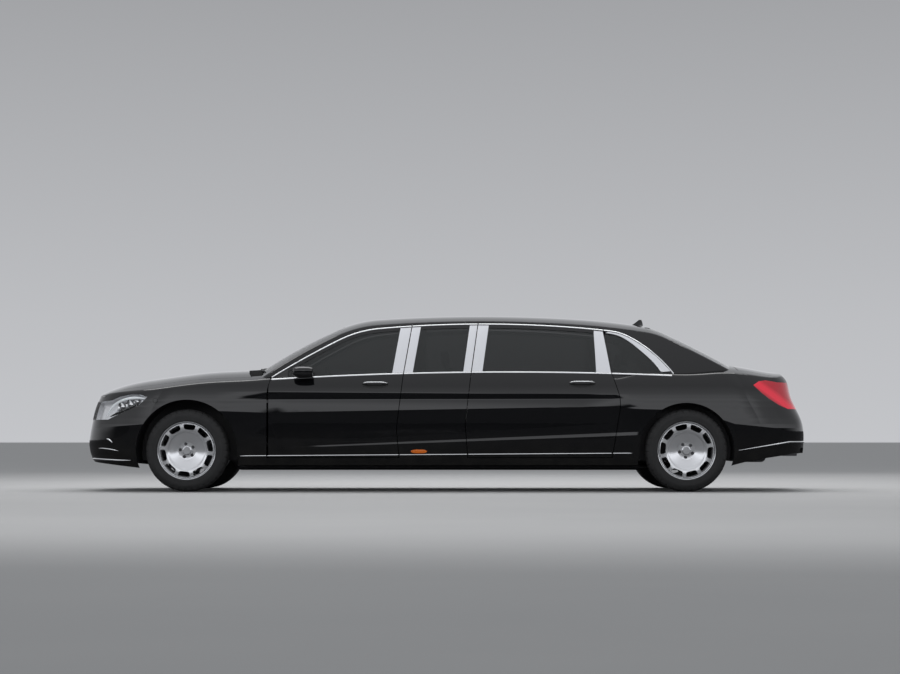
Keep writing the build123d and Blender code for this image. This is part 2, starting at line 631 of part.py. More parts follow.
def tyre():
    """A left tyre with tall sidewalls, its axle at ground level."""
    half, r, bead = TYRE_WIDTH / 2, TYRE_RADIUS, BEAD_RADIUS
    outline = Polyline((half - 32, r), (-half + 32, r))
    outline += ThreePointArc((-half + 32, r), (-half + 9, r - 11), (-half + 1, r - 36))
    outline += ThreePointArc((-half + 1, r - 36), (-half - 5, (r + bead) / 2 + 6), (-half + 7, RIM_RADIUS))
    outline += Polyline((-half + 7, RIM_RADIUS), (-half + 16, RIM_RADIUS), (-half + 16, bead),
                        (half - 16, bead), (half - 16, RIM_RADIUS), (half - 7, RIM_RADIUS))
    outline += ThreePointArc((half - 7, RIM_RADIUS), (half + 5, (r + bead) / 2 + 6), (half - 1, r - 36))
    outline += ThreePointArc((half - 1, r - 36), (half - 9, r - 11), (half - 32, r))
    return Pos(0, -WHEEL_Y, 0) * revolve(Plane.YX * make_face(outline), Axis.Y)


def revolved(points):
    """A turned piece from (axial, radial) points, +axial towards the car's right."""
    return revolve(Plane.YX * polygon(points), Axis.Y)


WINDOWS = 10
WINDOW_PITCH_RADIUS = 199
WINDOW_WIDTH, WINDOW_HEIGHT, WINDOW_CORNER = 92, 38, 13
BRAKE_RADIUS = 172
BRAKE_WALL = 34


def rim():
    """A left disc wheel with ten windows, its brake disc and the hub bore."""
    half = TYRE_WIDTH / 2 - 16
    barrel = revolved([(-half, BEAD_RADIUS), (-half, RIM_RADIUS), (-half - 9, RIM_RADIUS),
                       (-half - 9, BEAD_RADIUS - 6), (-half + 20, BEAD_RADIUS - 16),
                       (half - 20, BEAD_RADIUS - 16), (half + 9, BEAD_RADIUS - 6),
                       (half + 9, RIM_RADIUS), (half, RIM_RADIUS), (half, BEAD_RADIUS)])
    dish = [(-88, 0), (-88, 34), (-66, 40), (-66, 84), (-84, 150), (-100, 172), (-104, 182), (-102, 218),
            (-102, 223), (-84, 223), (-84, 214), (-86, 182), (-68, 150), (-44, 84), (-44, 0)]
    disc = revolved(dish)
    window = Pos(0, WINDOW_PITCH_RADIUS) * RectangleRounded(WINDOW_WIDTH, WINDOW_HEIGHT, WINDOW_CORNER)
    hole = side_prism(window, 35, 125)
    disc = disc - [Rot(0, 360 / WINDOWS * (i + 0.5), 0) * hole for i in range(WINDOWS)]
    hub = revolved([(-60, RIM_BORE), (-60, 66), (10, 66), (10, RIM_BORE)])
    brake = revolved([(-24, 60), (-24, 92), (-22, BRAKE_RADIUS), (-22 + BRAKE_WALL, BRAKE_RADIUS),
                      (-22 + BRAKE_WALL, 80), (10, 80), (10, 60)])
    bore = Pos(0, 5, 0) * Rot(90, 0, 0) * Cylinder(RIM_BORE, 90)
    return Pos(0, -WHEEL_Y, 0) * (barrel + [disc, hub, brake] - bore)


tyres = {-1: tyre()}
rims = {-1: rim()}
tyres[1], rims[1] = right(tyres[-1]), right(rims[-1])
CORNERS = [("front_left", FRONT_AXLE_X, -1), ("front_right", FRONT_AXLE_X, 1),
           ("rear_left", REAR_AXLE_X, -1), ("rear_right", REAR_AXLE_X, 1)]
for corner, x, side in CORNERS:
    export("tyre_" + corner, Pos(x, 0, TYRE_RADIUS) * tyres[side])
    export("rim_" + corner, Pos(x, 0, TYRE_RADIUS) * rims[side])

# Carriers: a stub axle in the hub, an upright, and the ball joints on the kingpin line
JOINT_RISE = 128
KINGPIN_RADIUS, KINGPIN_SHOWS = 18, 24
STUB_END = WHEEL_Y + 38
CARRIER_IN, CARRIER_OUT = KINGPIN_Y - 55, WHEEL_Y - 14


def carrier(x):
    """The left wheel carrier with its stub axle."""
    stub = y_cylinder(x, TYRE_RADIUS, STUB_RADIUS, KINGPIN_Y - 20, STUB_END)
    boss = y_cylinder(x, TYRE_RADIUS, 58, KINGPIN_Y - 32, KINGPIN_Y + 30)
    reach = JOINT_RISE - KINGPIN_SHOWS
    post = block(x - 26, x + 26, -KINGPIN_Y - 20, -KINGPIN_Y + 20, TYRE_RADIUS - reach, TYRE_RADIUS + reach)
    caliper = arc_sector(BRAKE_RADIUS - 20, 60, -35, 35)
    caliper = side_prism(Pos(x, TYRE_RADIUS) * caliper, WHEEL_Y - 42, WHEEL_Y - 17.5)
    web = block(x, x + 150, -WHEEL_Y + 42, -WHEEL_Y + 62, TYRE_RADIUS - 40, TYRE_RADIUS + 40)
    kingpin = Pos(x, -KINGPIN_Y, TYRE_RADIUS) * Cylinder(KINGPIN_RADIUS, 2 * JOINT_RISE)
    return stub + [boss, post, web, caliper, kingpin]


def front_arms():
    """Upper and lower arms of the left front wheel, from the rail to the ball joints."""
    shapes = []
    for rise, wide in ((-JOINT_RISE - 0.3, 190), (JOINT_RISE + 0.3, 120)):
        z = TYRE_RADIUS + rise
        z0, z1 = (z - 26, z) if rise < 0 else (z, z + 26)
        face = polygon([(FRONT_AXLE_X - 30, -KINGPIN_Y - 22), (FRONT_AXLE_X + 30, -KINGPIN_Y - 22),
                        (FRONT_AXLE_X + 34, -KINGPIN_Y + 60), (FRONT_AXLE_X + wide, -RAIL_OUT),
                        (FRONT_AXLE_X + wide - 50, -RAIL_OUT), (FRONT_AXLE_X, -KINGPIN_Y + 150),
                        (FRONT_AXLE_X - wide + 50, -RAIL_OUT), (FRONT_AXLE_X - wide, -RAIL_OUT),
                        (FRONT_AXLE_X - 34, -KINGPIN_Y + 60)])
        shapes.append(plan_prism(face, z0, z1))
    return shapes


RAIL_IN, RAIL_OUT = 392, 471
RAIL_LOW, RAIL_HIGH = 205, 560
rail = block(-3080, -1700, -RAIL_OUT, -RAIL_IN, 400, 520)
tower = block(FRONT_AXLE_X - 210, FRONT_AXLE_X + 210, -RAIL_OUT, -RAIL_IN, RAIL_LOW + 2, 520)
tower = tower + block(FRONT_AXLE_X - 140, FRONT_AXLE_X + 140, -RAIL_OUT, -RAIL_IN, 500, RAIL_HIGH)
front_cross = block(FRONT_AXLE_X - 120, FRONT_AXLE_X + 120, -RAIL_IN, RAIL_IN, RAIL_LOW + 2, 262)
export("front_subframe", rail + tower + right(rail + tower) + front_cross
       + block(-3110, -3080, -600, 600, 400, 520))
export("front_arms", [pair(arm) for arm in front_arms()])
export("carrier_front_left", carrier(FRONT_AXLE_X))
export("carrier_front_right", right(carrier(FRONT_AXLE_X)))


def liner(x, radius, well):
    """The inner lining of a wheel arch."""
    outer = y_cylinder(x, TYRE_RADIUS, radius + LINER_WALL, well, 1000)
    inner = y_cylinder(x, TYRE_RADIUS, radius, well + LINER_WALL, 1001)
    shell = (outer - inner) & block(-3400, 3400, -1000, 0, SILL_BOTTOM + 40, 1400)
    return shell & (BODY_THIN & BONNET_UNDER if x < 0 else BODY_THIN & DECK_UNDER)


liners = [liner(FRONT_AXLE_X, FRONT_ARCH_RADIUS, RAIL_OUT),
          liner(REAR_AXLE_X, REAR_ARCH_RADIUS, REAR_WELL_Y - LINER_WALL)]
liners[0] = liners[0] - hinge_post
liners[0] = liners[0] - block(FRONT_AXLE_X - 210, FRONT_AXLE_X + 210, -500, -460, 0, 535)
liners[1] = liners[1] - quarter_post - CABIN_WALL
export("wheel_arch_liners", [pair(piece) for piece in liners])

beam_half = REAR_WELL_Y - LINER_WALL
rear_beam = block(REAR_AXLE_X - 60, REAR_AXLE_X + 60, -beam_half, beam_half, 250, 340)
final_drive = Pos(REAR_AXLE_X, 0, 302) * Rot(90, 0, 0) * Cylinder(92, 260)
rear_beam = rear_beam + final_drive
for side in (-1, 1):
    y0, y1 = sorted((side * (KINGPIN_Y - 10), side * 120))
    rear_beam = rear_beam + block(REAR_AXLE_X - 45, REAR_AXLE_X + 45, y0, y1, 262, 300)
    shaft_low, shaft_high = TYRE_RADIUS - 26, TYRE_RADIUS + 26
    rear_beam = rear_beam + block(REAR_AXLE_X - 26, REAR_AXLE_X + 26, y0, y1, shaft_low, shaft_high)
rear_beam = rear_beam + carrier(REAR_AXLE_X) + right(carrier(REAR_AXLE_X))
rear_beam = rear_beam - liners[1] - right(liners[1])
export("rear_axle", rear_beam)


def exhaust():
    """The left half of the exhaust: pipe, half of the silencer, outlet tip and hangers."""
    front, rear, reach, low, high = SILENCER
    route = FilletPolyline((front + 20, -PIPE_Y, low + 45), (front - 90, -PIPE_Y, low + 45),
                           (2330, -PIPE_Y, PIPE_HEIGHT), (-1880, -PIPE_Y, PIPE_HEIGHT),
                           (-1950, -PIPE_Y, ENGINE_LOW), radius=40)
    pipe = sweep(Plane(origin=route @ 0, z_dir=route % 0) * Circle(PIPE_RADIUS), path=route)
    pipe = pipe - block(-2100, ENGINE_REAR + 0.3, -RAIL_IN, 0, ENGINE_LOW - 0.3, 400)
    half = fillet(block(front, rear, -reach, reach, low, high).edges().filter_by(Axis.Y), 45)
    outer = RectangleRounded(TIP_WIDTH, TIP_HEIGHT, TIP_HEIGHT / 2 - 4)
    inner = offset(outer, -TIP_WALL)
    place = Pos(-TIP_Y, TIP_LEVEL)
    tip = front_prism(place * outer, rear - 5, TIP_END) - front_prism(place * inner, rear + 60, TIP_END + 1)
    hangers = [block(front + 60, front + 90, -420, -390, high - 5, BOOT_FLOOR - 30.3)]
    hangers += [block(x, x + 30, -PIPE_Y - 8, -PIPE_Y + 8, PIPE_HEIGHT + 20, FLOOR_TOP - FLOOR_WALL - 0.3)
                for x in (-1500, -400, 700)]
    return pipe + [half & LEFT, tip, *hangers]


print("floor and cabin")
BULKHEAD_X = -1700
SHELF_LOW, SHELF_TOP = 985, 999.7
REAR_BULKHEAD_X = 1690
BOOT_FLOOR = 430
floor = BODY_THICK & block(SILL_FRONT, SILL_REAR, -1000, 1000, FLOOR_TOP - FLOOR_WALL, FLOOR_TOP)
tunnel = block(BULKHEAD_X, REAR_BULKHEAD_X - 30, -90, 90, FLOOR_TOP - 1, 400)
bulkhead = BODY_THICK & BONNET_UNDER & block(BULKHEAD_X - 40, BULKHEAD_X, -1000, 1000, FLOOR_TOP - 1, 960)
rear_wall = BODY_THICK & block(REAR_BULKHEAD_X - 30, REAR_BULKHEAD_X, -1000, 1000, FLOOR_TOP - 1, SHELF_LOW)
boot_floor = BODY_THIN & block(REAR_BULKHEAD_X, 3120, -1000, 1000, BOOT_FLOOR - 30, BOOT_FLOOR)
well = y_cylinder(REAR_AXLE_X, TYRE_RADIUS, REAR_ARCH_RADIUS + LINER_WALL, REAR_WELL_Y - LINER_WALL, 1000)
boot_floor = boot_floor - [well, right(well)]
floor_pan = floor + [tunnel, bulkhead, rear_wall, boot_floor]
floor_pan = floor_pan - [rail, right(rail)]
export("floor_pan", floor_pan)
shelf_block = block(REAR_BULKHEAD_X - 30, BOOT_FRONT - 14, -1000, 1000, SHELF_LOW, SHELF_TOP)
shelf = BODY_THICK & DECK_UNDER & shelf_block
boot_guide = block(2560, 2640, -640, -585, SHELF_TOP - 1, 1054) - [roof, rear_quarter]
shelf = shelf + [boot_guide, right(boot_guide)] - boot_slot
export("parcel_shelf", shelf)
left_exhaust = exhaust()
export("exhaust", left_exhaust + right(left_exhaust))
export("engine", block(-2780, ENGINE_REAR, -RAIL_IN, RAIL_IN, ENGINE_LOW, 880) - front_cross - rail)
export("radiator", block(-3040, -2990, -RAIL_IN, RAIL_IN, 300, 790))

# Seats: x of the back's foot, half spacing, width, and which way they face
DASH_REAR = -1180
DASH_HALF = 815
DASH_TOP = 955
SEAT_HEIGHT = 590


def seat(x, y, wide, facing):
    """A cushion on a plinth with a leaning back; facing -1 looks to the nose."""
    x0, x1 = sorted((x - facing * 20, x + facing * 520))
    cushion = block(x0, x1, y - wide / 2, y + wide / 2, FLOOR_TOP, SEAT_HEIGHT)
    back = polygon([(x, SEAT_HEIGHT - 130), (x - facing * 120, SEAT_HEIGHT - 130),
                    (x - facing * 210, 1110), (x - facing * 110, 1110)])
    rest = polygon([(x - facing * 120, 1125), (x - facing * 205, 1125), (x - facing * 222, 1270),
                    (x - facing * 135, 1270)])
    stalk = polygon([(x - facing * 155, 1100), (x - facing * 170, 1100), (x - facing * 175, 1140),
                     (x - facing * 160, 1140)])
    shape = cushion + extrude(Plane.XZ.offset(-y - wide / 2) * back, amount=wide)
    rest_wide = 260
    shape = shape + extrude(Plane.XZ.offset(-y - rest_wide / 2) * rest, amount=rest_wide)
    return shape + extrude(Plane.XZ.offset(-y - 60) * stalk, amount=120)


export("seats_front", [seat(-560, y, 520, -1) for y in (-395, 395)])
export("seats_facing", [seat(160, y, 500, 1) for y in (-395, 395)])
export("seats_rear", [seat(1440, y, 600, -1) for y in (-395, 395)])
PARTITION_X = -250
PARTITION_SEAM = 1060
PARTITION_REAR = PARTITION_X + 60
lower = block(PARTITION_X, PARTITION_REAR, -1000, 1000, FLOOR_TOP, PARTITION_SEAM)
partition = CABIN_IN & BODY_THICK & lower
upper = CABIN_IN & block(PARTITION_X, PARTITION_REAR, -1000, 1000, PARTITION_SEAM, 1700)
export("partition", (partition + upper) - tunnel)
dash_face = polygon([(BULKHEAD_X, 720), (-1300, 700), (DASH_REAR, 760), (DASH_REAR - 20, 890),
                     (-1260, 940), (-1400, DASH_TOP), (BULKHEAD_X, DASH_TOP)])
dash = BODY_THICK & side_prism(dash_face, -DASH_HALF, DASH_HALF)
export("dashboard", dash - cowl - bulkhead)
WHEEL_PLACE, WHEEL_LEAN = (-1010, -395, 930), 66
ring = Torus(185, 15) + Cylinder(62, 34) + Box(34, 350, 16) + Pos(85, 0, 0) * Box(170, 40, 16)
export("steering_wheel", Pos(*WHEEL_PLACE) * Rot(0, WHEEL_LEAN, 0) * ring)
column = Pos(*WHEEL_PLACE) * Rot(0, WHEEL_LEAN, 0) * Pos(0, 0, -17.3 - 100) * Cylinder(30, 200)
export("steering_column", column - dash)
mirror_head = fillet((Pos(-1248, -985, 1072) * Box(120, 190, 130)).edges(), 28)
mirror_foot = block(-1330, -1210, -930, -850, 1003, 1040) - [CABIN_PLAIN, BODY]
left_mirror = mirror_head + mirror_foot
export("mirror_left", left_mirror)
export("mirror_right", right(left_mirror))
print("done")
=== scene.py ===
"""The looks of the black stretch limousine: paint, chrome, glass, lamps, wheels and cabin."""

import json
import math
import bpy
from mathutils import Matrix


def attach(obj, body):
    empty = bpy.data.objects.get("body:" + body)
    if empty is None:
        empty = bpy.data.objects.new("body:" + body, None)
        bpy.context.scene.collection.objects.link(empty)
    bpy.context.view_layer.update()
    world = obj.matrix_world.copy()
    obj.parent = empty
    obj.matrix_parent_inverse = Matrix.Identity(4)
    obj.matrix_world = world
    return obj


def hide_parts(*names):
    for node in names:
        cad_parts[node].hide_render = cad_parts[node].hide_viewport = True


bl_info = {
    "name": "Stretch limousine looks",
    "version": (1, 0, 0),
    "blender": (4, 5, 0),
    "location": "3D View > Sidebar > Limousine",
    "description": "Builds the finished surfaces and small pieces of a black stretch limousine",
    "category": "Object",
}

import bmesh
import bpy
import numpy as np
from mathutils import Matrix, Vector
from mathutils.bvhtree import BVHTree

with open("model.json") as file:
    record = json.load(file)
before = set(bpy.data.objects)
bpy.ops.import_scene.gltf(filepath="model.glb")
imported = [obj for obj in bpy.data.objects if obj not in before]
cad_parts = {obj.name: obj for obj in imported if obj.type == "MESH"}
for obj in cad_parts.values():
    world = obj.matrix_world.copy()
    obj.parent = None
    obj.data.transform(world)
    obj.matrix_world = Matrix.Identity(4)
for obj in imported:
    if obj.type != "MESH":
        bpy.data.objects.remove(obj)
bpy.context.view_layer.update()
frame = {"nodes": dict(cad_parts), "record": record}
NODES = frame["nodes"]
SIDES = (("left", -1), ("right", 1))
SLOTS = {s["material_slot"] for s in frame["record"]["subparts"]}
SLOT_OF = {"brushed_silver": "chrome", "gloss_trim": "black_plastic", "lamp_white": "clear_lens"}
CORNERS = ("front_left", "front_right", "rear_left", "rear_right")

# The lofted surfaces in metres, as the packed model has them.
# Height, nose x, tail x, half width, front corner radius, rear corner radius
LEVELS = np.array([
    (0.150, -3.060, 3.120, 0.868, 0.480, 0.380),
    (0.240, -3.180, 3.205, 0.905, 0.520, 0.400),
    (0.310, -3.232, 3.236, 0.926, 0.540, 0.420),
    (0.460, -3.250, 3.250, 0.944, 0.560, 0.430),
    (0.620, -3.226, 3.236, 0.941, 0.575, 0.440),
    (0.800, -3.176, 3.152, 0.949, 0.600, 0.450),
    (0.930, -3.110, 3.117, 0.930, 0.620, 0.470),
    (1.060, -3.030, 3.035, 0.880, 0.640, 0.500),
    (1.190, -2.930, 2.930, 0.815, 0.640, 0.500),
])
END_BOW, SIDE_BARREL, BARREL_REACH = 0.110, 0.018, 3.13
BONNET_LINE = np.array([(-3.330, 0.795), (-3.139, 0.883), (-2.918, 0.966), (-2.640, 1.019),
                        (-2.270, 1.068), (-1.904, 1.093), (-1.690, 1.104), (-1.400, 1.112)])
DECK_LINE = np.array([(1.400, 1.129), (1.700, 1.132), (2.000, 1.135), (2.300, 1.139), (2.600, 1.141),
                      (2.800, 1.108), (3.000, 1.078), (3.330, 1.040)])
BONNET_FALL, DECK_FALL, ROOF_FALL = 0.115 / 0.81, 0.100 / 0.81, 0.138 / 0.81
# Place along the car, and the half width of the cabin at each of CABIN_LEVELS
CABIN_SIDES = np.array([
    (-2.1, 0.780, 0.680, 0.480), (-1.3, 0.885, 0.770, 0.552), (-0.3, 0.907, 0.790, 0.572),
    (0.8, 0.907, 0.790, 0.572), (1.8, 0.884, 0.764, 0.548), (2.3, 0.815, 0.700, 0.500),
    (3.0, 0.640, 0.540, 0.380)])
CABIN_LEVELS = (0.95, 1.27, 1.65)
ROOF_CHAIN = ([(-0.610, 1.567), (0.300, 1.597), (1.230, 1.567)],
              [(-0.982, 1.478), (-1.700, 1.086), (-2.010, 0.860)],
              [(1.783, 1.505), (1.970, 1.449), (2.595, 1.132), (3.040, 0.860)])
WINDOW_CHAIN = ([(-0.593, 1.446), (0.211, 1.486), (1.193, 1.451)],
                [(-0.951, 1.343), (-1.567, 0.995)],
                [(1.461, 1.424), (1.640, 1.366), (2.015, 1.040)])
BELT_ARC = [(-1.555, 0.991), (0.475, 1.057), (2.000, 1.026)]
# The gaps between the upper panels: x at each of SHUT_LEVELS
SHUT_LINES = {"lead": (-1.552, -1.540), "front": (-0.381, -0.286), "rear": (0.218, 0.298),
              "tail": (1.466, 1.374)}
SHUT_LEVELS = (1.043, 1.600)
SHUT_GAP = 0.006
SIDE_PANELS = (("lead", "front", "door_front_{}"), ("front", "rear", "car_body"),
               ("rear", "tail", "door_rear_{}"), ("tail", None, "car_body"))


def spline(knots, values, at):
    """A natural cubic spline through the knots."""
    n = len(knots)
    steps = np.diff(knots)
    system, pull = np.eye(n), np.zeros((n,) + values.shape[1:])
    for i in range(1, n - 1):
        system[i, i - 1:i + 2] = steps[i - 1], 2 * (steps[i - 1] + steps[i]), steps[i]
        pull[i] = 6 * ((values[i + 1] - values[i]) / steps[i] - (values[i] - values[i - 1]) / steps[i - 1])
    bend = np.linalg.solve(system, pull)
    at = np.clip(at, knots[0], knots[-1])
    i = np.clip(np.searchsorted(knots, at) - 1, 0, n - 2)
    h = steps[i]
    a, b = (knots[i + 1] - at) / h, (at - knots[i]) / h
    if values.ndim > 1:
        h, a, b = h[..., None], a[..., None], b[..., None]
    return (a * values[i] + b * values[i + 1]
            + ((a ** 3 - a) * bend[i] + (b ** 3 - b) * bend[i + 1]) * h * h / 6)


def circle_through(p, q, r):
    """Centre and radius of the circle through three points."""
    system = 2 * np.array([(q[0] - p[0], q[1] - p[1]), (r[0] - p[0], r[1] - p[1])])
    p, q, r = (np.asarray(point, float) for point in (p, q, r))
    centre = np.linalg.solve(system, np.array([q @ q - p @ p, r @ r - p @ p]))
    return centre, math.hypot(p[0] - centre[0], p[1] - centre[1])


def chain_arcs(chain):
    """The arcs of a tangent chain as (start x, end x, centre, radius), all of them bowed upwards."""
    arc, front, rear = chain
    centre, radius = circle_through(*arc)
    arcs = [(arc[0][0], arc[2][0], centre, radius)]
    for points, first in ((front, arc[0]), (rear, arc[2])):
        last, middle = np.array(first), centre
        for point in points:
            point = np.array(point)
            inward = (middle - last) / np.linalg.norm(middle - last)
            chord = point - last
            reach = chord @ chord / (2 * (chord @ inward))
            middle = last + inward * reach
            ends = sorted((last[0], point[0]))
            arcs.append((ends[0], ends[1], middle, reach))
            last = point
    return sorted(arcs, key=lambda a: a[0])


def chain_height(arcs, x):
    """Height of a chain of arcs at x."""
    x = np.clip(x, arcs[0][0], arcs[-1][1])
    z = np.zeros_like(x)
    for start, end, centre, radius in arcs:
        inside = (x >= start - 1e-9) & (x <= end + 1e-9)
        rise = np.sqrt(np.maximum(radius ** 2 - (x - centre[0]) ** 2, 0))
        z = np.where(inside, centre[1] + math.copysign(1, radius) * rise, z)
    return z


ROOF_ARCS, WINDOW_ARCS = chain_arcs(ROOF_CHAIN), chain_arcs(WINDOW_CHAIN)
BELT_CIRCLE = circle_through(*BELT_ARC)


def belt_height(x):
    """Height of the belt line at x."""
    centre, radius = BELT_CIRCLE
    return centre[1] + math.sqrt(radius ** 2 - (x - centre[0]) ** 2)


def body_depth(p):
    """How far points lie inside the lower body's side, nose and tail."""
    x, y, z = p.T
    nose, tail, half, front, rear = spline(LEVELS[:, 0], LEVELS[:, 1:], z).T
    across = np.abs(y)
    side = half - SIDE_BARREL * (x / BARREL_REACH) ** 2 - across
    bow = END_BOW * (across / (half - SIDE_BARREL)) ** 2
    end = np.where(x < 0, x - nose - bow, tail - bow - x)
    radius = np.where(x < 0, front, rear)
    corner = radius - np.hypot(np.maximum(radius - side, 0), np.maximum(radius - end, 0))
    return np.where(np.minimum(side, end) > radius, np.minimum(side, end), corner)


def bonnet_depth(p):
    """How far points lie below the bonnet."""
    return spline(BONNET_LINE[:, 0], BONNET_LINE[:, 1], p[:, 0]) - BONNET_FALL * p[:, 1] ** 2 - p[:, 2]


def deck_depth(p):
    """How far points lie below the boot's deck."""
    return spline(DECK_LINE[:, 0], DECK_LINE[:, 1], p[:, 0]) - DECK_FALL * p[:, 1] ** 2 - p[:, 2]


def cabin_half(x, z):
    """Half width of the cabin at a place along it and a height."""
    low, mid, top = spline(CABIN_SIDES[:, 0], CABIN_SIDES[:, 1:], np.asarray(x, float)).T
    a, b, c = CABIN_LEVELS
    z = np.maximum(z, a)
    return (low * (z - b) * (z - c) / ((a - b) * (a - c)) + mid * (z - a) * (z - c) / ((b - a) * (b - c))
            + top * (z - a) * (z - b) / ((c - a) * (c - b)))


def cabin_depth(p):
    """How far points lie inside the cabin's sides."""
    return cabin_half(p[:, 0], p[:, 2]) - np.abs(p[:, 1])


def roof_depth(p):
    """How far points lie below the roof and its two windows."""
    return chain_height(ROOF_ARCS, p[:, 0]) - ROOF_FALL * p[:, 1] ** 2 - p[:, 2]


def shell_depth(p):
    """How far points lie inside the lower body with its bonnet and boot."""
    top = np.where(p[:, 0] < 0, bonnet_depth(p), deck_depth(p))
    return np.minimum(body_depth(p), top)


def outward(depth, p):
    """Outward unit normals of the surface where a depth is nil."""
    step = 5e-4
    slope = np.stack([depth(p + axis) - depth(p - axis) for axis in np.eye(3) * step], 1)
    return -slope / np.maximum(np.linalg.norm(slope, axis=1, keepdims=True), 1e-12)


SURFACES = (body_depth, bonnet_depth, deck_depth, cabin_depth, roof_depth)


class Socket:
    """A shader value that can be used in plain arithmetic."""

    def __init__(self, kit, link):
        self.kit, self.link = kit, link

    def join(self, operation, other, flipped=False):
        """A Math node over this value and another value or number."""
        values = [other, self] if flipped else [self, other]
        return self.kit.node("ShaderNodeMath", {"operation": operation}, {i: v for i, v in enumerate(values)})

    def __add__(self, other):
        return self.join("ADD", other)

    def __radd__(self, other):
        return self.join("ADD", other)

    def __sub__(self, other):
        return self.join("SUBTRACT", other)

    def __rsub__(self, other):
        return self.join("SUBTRACT", other, True)

    def __mul__(self, other):
        return self.join("MULTIPLY", other)

    def __rmul__(self, other):
        return self.join("MULTIPLY", other)

    def __truediv__(self, other):
        return self.join("DIVIDE", other)


class Kit:
    """Adds nodes to a node tree."""

    def __init__(self, tree):
        self.tree = tree

    def node(self, kind, settings=None, values=None, output=0):
        """A new node: its settings are made first, then the values or links of its sockets."""
        made = self.tree.nodes.new(kind)
        for name, value in (settings or {}).items():
            if name == "stops":
                band = made.color_ramp.elements
                while len(band) < len(value):
                    band.new(0.5)
                for stop, (at, color) in zip(band, value):
                    stop.position, stop.color = at, color
            elif name == "curve":
                line = made.mapping.curves[0]
                while len(line.points) < len(value):
                    line.points.new(0.5, 0.5)
                for point, place in zip(line.points, value):
                    point.location, point.handle_type = place, "VECTOR"
                made.mapping.update()
            else:
                setattr(made, name, value)
        for socket, value in (values or {}).items():
            if isinstance(value, Socket):
                self.tree.links.new(value.link, made.inputs[socket])
            else:
                made.inputs[socket].default_value = value
        return Socket(self, made.outputs[output])

    def blend(self, factor, first, second):
        """A mix of two colours, each a plain one or a colour value."""
        ends = {6: first, 7: second}
        ends = {i: end if isinstance(end, Socket) else (*end, 1) for i, end in ends.items()}
        return self.node("ShaderNodeMix", {"data_type": "RGBA"}, {0: factor, **ends}, 2)

    def curve(self, value, stops):
        """A value from a curve of (at, value) stops, straight between them."""
        low, high = stops[0][0], stops[-1][0]
        share = (value - low) * (1 / (high - low))
        points = [((at - low) / (high - low), level) for at, level in stops]
        return self.node("ShaderNodeFloatCurve", {"curve": points}, {"Value": share})


class Finish(Kit):
    """A material whose surface is one Principled shader."""

    def __init__(self, name, color, **constants):
        self.material = bpy.data.materials.new(name)
        self.material.use_nodes = True
        super().__init__(self.material.node_tree)
        self.surface = self.tree.nodes["Principled BSDF"]
        self.surface.inputs["Base Color"].default_value = (*color, 1)
        self.material.diffuse_color = (*color, 1)
        for socket, value in constants.items():
            self.surface.inputs[socket.replace("_", " ")].default_value = value
        self.place = self.node("ShaderNodeTexCoord", output="Object")

    def noise(self, scale, detail=2):
        """Soft spots all over the surface."""
        return self.node("ShaderNodeTexNoise", None,
                         {"Vector": self.place, "Scale": scale, "Detail": detail, "Roughness": 0.5})

    def upright_waves(self, scale, distortion=0.0):
        """Even bands one above the other."""
        return self.node("ShaderNodeTexWave", {"bands_direction": "Z"},
                         {"Vector": self.place, "Scale": scale, "Distortion": distortion})

    def part(self, axis):
        """One coordinate of the place."""
        return self.node("ShaderNodeSeparateXYZ", None, {0: self.place}, axis)

    def bump(self, height, strength, distance):
        """Presses a height into the surface's normals."""
        return self.feed("Normal", self.node("ShaderNodeBump", None,
                                             {"Height": height, "Strength": strength, "Distance": distance}))

    def feed(self, socket, value):
        """Links a value to a socket of the surface."""
        self.tree.links.new(value.link, self.surface.inputs[socket])
        return self


PAINT, FILM = (0.0035, 0.0037, 0.0045), (0.020, 0.019, 0.017)
HOLLOW_DEEP, LEAN_DEEP, CREASE_DEEP = -0.0125, -0.0296, -0.0030
# The heights of the paint's shallow forms: along a share of their own size, and faded along the car
HOLLOW = [(-0.1, 0.0), (0.0, 0.0), (0.05, 0.04), (0.58, 0.96), (0.63, 1.0), (0.67, 0.96), (0.96, 0.05),
          (1.0, 0.0), (1.1, 0.0)]
HOLLOW_ALONG = [(-2.4, 0.0), (-2.05, 0.0), (-1.4, 1.0), (1.2, 1.0), (1.62, 0.0), (2.8, 0.0)]
LEAN_ALONG = [(-3.3, 1.0), (-1.95, 1.0), (-1.5, 0.0), (1.45, 0.0), (1.75, 1.0), (3.3, 1.0)]
LEAN_FOOT = [(-3.3, 0.555), (-3.0, 0.575), (-2.65, 0.60), (-2.2, 0.72), (-1.6, 0.70), (1.4, 0.745),
             (1.75, 0.73), (2.2, 0.72), (2.55, 0.60), (2.9, 0.565), (3.3, 0.565)]
LEAN_CLIMB = [(0.50, 0.0), (0.55, 0.0), (0.60, 0.08), (0.65, 0.27), (0.70, 0.52), (0.75, 0.77), (0.80, 0.94),
              (0.84, 0.99), (0.87, 1.0), (1.10, 1.0)]
CREASE = [(-1.0, 0.0), (0.0, 0.0), (1.0, 1.0), (4.0, 0.0), (5.0, 0.0)]
CREASE_ALONG = [(-3.3, 0.0), (-1.45, 0.0), (-0.9, 1.0), (1.68, 1.0), (1.76, 0.0), (3.3, 0.0)]


